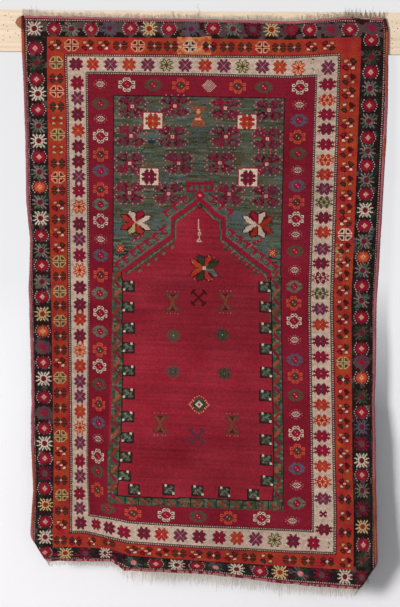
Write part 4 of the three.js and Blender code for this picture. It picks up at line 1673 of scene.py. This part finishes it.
class RUG_OT_board(bpy.types.Operator):
    """Finish the wall board and lay dark discs for its old nail holes, coloured with painted shade and dirt"""

    bl_idname = "rug.board"
    bl_label = "Wall board"

    def execute(self, context):
        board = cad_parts["wall_board"]
        wood = wood_finish()
        for slot in board.material_slots:
            slot.material = wood
        random = np.random.default_rng(SEED + 50)
        material = hole_shade_and_dirt_finish()
        holes = []
        for x, y in NAIL_HOLES:
            across, height = from_picture(x, y)
            radius = 1.1 + 0.7 * random.random()
            deselect()
            bpy.ops.mesh.primitive_cylinder_add(
                vertices=10, radius=radius * MM, depth=HOLE_DEPTH * MM,
                location=(float(across) * MM, -(BOARD_THICKNESS + HOLE_PROUD) * MM, float(height) * MM),
                rotation=(math.pi / 2, 0, 0),
            )
            holes.append(context.object)
        deselect()
        for hole in holes:
            hole.select_set(True)
        context.view_layer.objects.active = holes[0]
        bpy.ops.object.join()
        piece = context.object
        piece.name = piece.data.name = "nail_holes"
        bpy.ops.object.transform_apply(location=True, rotation=True, scale=True)
        finish_piece(piece, material)
        return {"FINISHED"}


# Metres: the camera's distance from the cloth, the cloth's usual distance from the wall, and how far the
# wall and the floor reach to each side.
CAMERA_DISTANCE = 8.0
CLOTH_DEPTH = 0.035
PICTURE_HEIGHT = PICTURE_SIZE[1] * PIXEL * MM
SENSOR = 36.0
WALL_REACH, FLOOR_REACH = 4, 7

# Each light: place, size, watts and colour. They point at one place on the rug.
LIGHTS = {
    "window_light": ((-7.7, -9.2, -0.6), 3.1, 1590, (1.0, 0.985, 0.965)),
    "room_light": ((0.8, -6.0, -0.4), 2.6, 30, (0.97, 0.98, 1.0)),
}
LIGHT_TARGET = (0, 0, -0.8)
WORLD_COLOUR, WORLD_STRENGTH = (0.93, 0.95, 1.0, 1), 0.27

# How far the floor lies below the board's middle.
WALL_FLOOR = 2.1
# The wall's profile as height and depth: it falls back a little low down, where the shadow is widest.
WALL_PROFILE = ((-WALL_FLOOR, 0.085), (-1.15, 0.002), (2.4, 0.002))
# The wall's paint and a painted glow that stands in for daylight from elsewhere in the room, where 0 is the floor and
# 1 the board's middle. This is painted light: high up the paint is dark and the glow bright, so the rug's cast shadow
# fades there; low down the glow is gone and the real shadow shows.
WALL_SHADOW_FADING_PAINT = (
    (0.3, (0.74, 0.735, 0.755)), (0.45, (0.70, 0.70, 0.72)), (0.56, (0.45, 0.45, 0.463)),
    (0.64, (0.08, 0.08, 0.082)), (1.0, (0.08, 0.08, 0.08)),
)
WALL_PAINTED_GLOW = (
    (0.3, (0.0, 0.0, 0.0)), (0.45, (0.03, 0.03, 0.031)), (0.56, (0.33, 0.33, 0.34)),
    (0.64, (0.75, 0.75, 0.77)), (1.0, (0.71, 0.71, 0.72)),
)


class RUG_OT_stage(bpy.types.Operator):
    """Set the camera, the soft lights, the pale wall and the floor"""

    bl_idname = "rug.stage"
    bl_label = "Stage"

    def execute(self, context):
        scene = context.scene
        scene.view_settings.view_transform = "Standard"
        across, height = from_picture(*(size / 2 for size in PICTURE_SIZE))
        data = bpy.data.cameras.new("picture_camera")
        data.sensor_width = SENSOR
        data.lens = SENSOR * CAMERA_DISTANCE / PICTURE_HEIGHT
        camera = bpy.data.objects.new("picture_camera", data)
        scene.collection.objects.link(camera)
        camera.location = (float(across) * MM, -CLOTH_DEPTH - CAMERA_DISTANCE, float(height) * MM)
        camera.rotation_euler = (math.pi / 2, -math.atan(PICTURE_ROLL), 0)
        scene.camera = camera

        world = bpy.data.worlds.new("pale_room")
        scene.world = world
        world.use_nodes = True
        ground = world.node_tree.nodes["Background"]
        ground.inputs["Color"].default_value = WORLD_COLOUR
        ground.inputs["Strength"].default_value = WORLD_STRENGTH
        for name, (place, size, energy, colour) in LIGHTS.items():
            lamp = bpy.data.lights.new(name, "AREA")
            lamp.shape, lamp.size, lamp.energy, lamp.color = "SQUARE", size, energy, colour
            light = bpy.data.objects.new(name, lamp)
            scene.collection.objects.link(light)
            light.location = place
            aim = np.array(LIGHT_TARGET) - np.array(place)
            level = math.hypot(aim[0], aim[1])
            light.rotation_euler = (math.pi / 2 + math.atan2(aim[2], level), 0, math.atan2(-aim[0], aim[1]))
        self.wall()
        self.floor()
        return {"FINISHED"}

    def wall(self):
        deselect()
        bpy.ops.mesh.primitive_grid_add(x_subdivisions=1, y_subdivisions=len(WALL_PROFILE) - 1, size=1)
        wall = bpy.context.object
        wall.name = "pale_wall"
        ends = (-WALL_REACH, WALL_REACH)
        move(wall, [(x, depth, height) for height, depth in WALL_PROFILE for x in ends])
        # Painted light: the emission glow and the paint change with height, so the rug's cast shadow on the wall
        # fades in the upper part.
        finish = Finish("wall_paint", 0.9)
        split = finish.node("SeparateXYZ", {}, {0: finish.object_place()})
        rise = (finish.value(split, 2) + WALL_FLOOR) / WALL_FLOOR
        finish.feed(finish.shader.inputs["Emission Color"], finish.ramp(WALL_PAINTED_GLOW, rise))
        finish.shader.inputs["Emission Strength"].default_value = 1.0
        plaster = finish.noise(finish.object_place(), 60, 3)
        finish.done(finish.ramp(WALL_SHADOW_FADING_PAINT, rise), plaster, 0.0004)
        clear = finish.node("BsdfTransparent")
        rear = finish.node("NewGeometry").outputs["Backfacing"]
        mixed = finish.node("MixShader", {}, {0: rear, 1: finish.shader.outputs[0], 2: clear.outputs[0]})
        output = finish.tree.nodes["Material Output"]
        finish.tree.links.new(mixed.outputs[0], output.inputs["Surface"])
        wall.data.materials.append(finish.material)
        wall.visible_diffuse = wall.visible_glossy = wall.visible_shadow = wall.visible_transmission = False

    def floor(self):
        deselect()
        bpy.ops.mesh.primitive_plane_add()
        floor = bpy.context.object
        floor.name = "pale_floor"
        ends = (-FLOOR_REACH, FLOOR_REACH)
        move(floor, [(x, y, -WALL_FLOOR) for y in ends for x in ends])
        finish = Finish("floor_paint", 0.85)
        cloud = finish.noise(finish.object_place(), 2.5, 3)
        tones = finish.ramp(((0.3, linear((0.86, 0.86, 0.86))), (0.7, linear((0.9, 0.9, 0.9)))), cloud)
        finish.done(tones, cloud, 0.0005)
        floor.data.materials.append(finish.material)


class RUG_OT_cloth(bpy.types.Operator):
    """An empty step that leaves the rug's pieces as they are"""

    bl_idname = "rug.cloth"
    bl_label = "Declare the cloth"

    def execute(self, context):
        return {"FINISHED"}


OPERATORS = (
    RUG_OT_stage, RUG_OT_board, RUG_OT_pile, RUG_OT_foundation, RUG_OT_selvedges, RUG_OT_ends, RUG_OT_cloth,
)


class RUG_PT_panel(bpy.types.Panel):
    """The rug's pieces, sizes and wools."""

    bl_label = "Prayer rug"
    bl_idname = "RUG_PT_panel"
    bl_space_type = "VIEW_3D"
    bl_region_type = "UI"
    bl_category = "Rug"

    def draw(self, context):
        for operator in OPERATORS:
            self.layout.operator(operator.bl_idname)
        for group in (context.scene.rug_sizes, context.scene.rug_wools):
            for name in group.__annotations__:
                self.layout.prop(group, name)


CLASSES = (RUG_PG_wools, RUG_PG_sizes, *OPERATORS, RUG_PT_panel)


def register():
    for item in CLASSES:
        bpy.utils.register_class(item)
    bpy.types.Scene.rug_wools = bpy.props.PointerProperty(type=RUG_PG_wools)
    bpy.types.Scene.rug_sizes = bpy.props.PointerProperty(type=RUG_PG_sizes)


def unregister():
    del bpy.types.Scene.rug_sizes
    del bpy.types.Scene.rug_wools
    for item in reversed(CLASSES):
        bpy.utils.unregister_class(item)


def main():
    register()
    for operator in OPERATORS:
        group, name = operator.bl_idname.split(".")
        getattr(getattr(bpy.ops, group), name)()


if __name__ == "__main__":
    main()
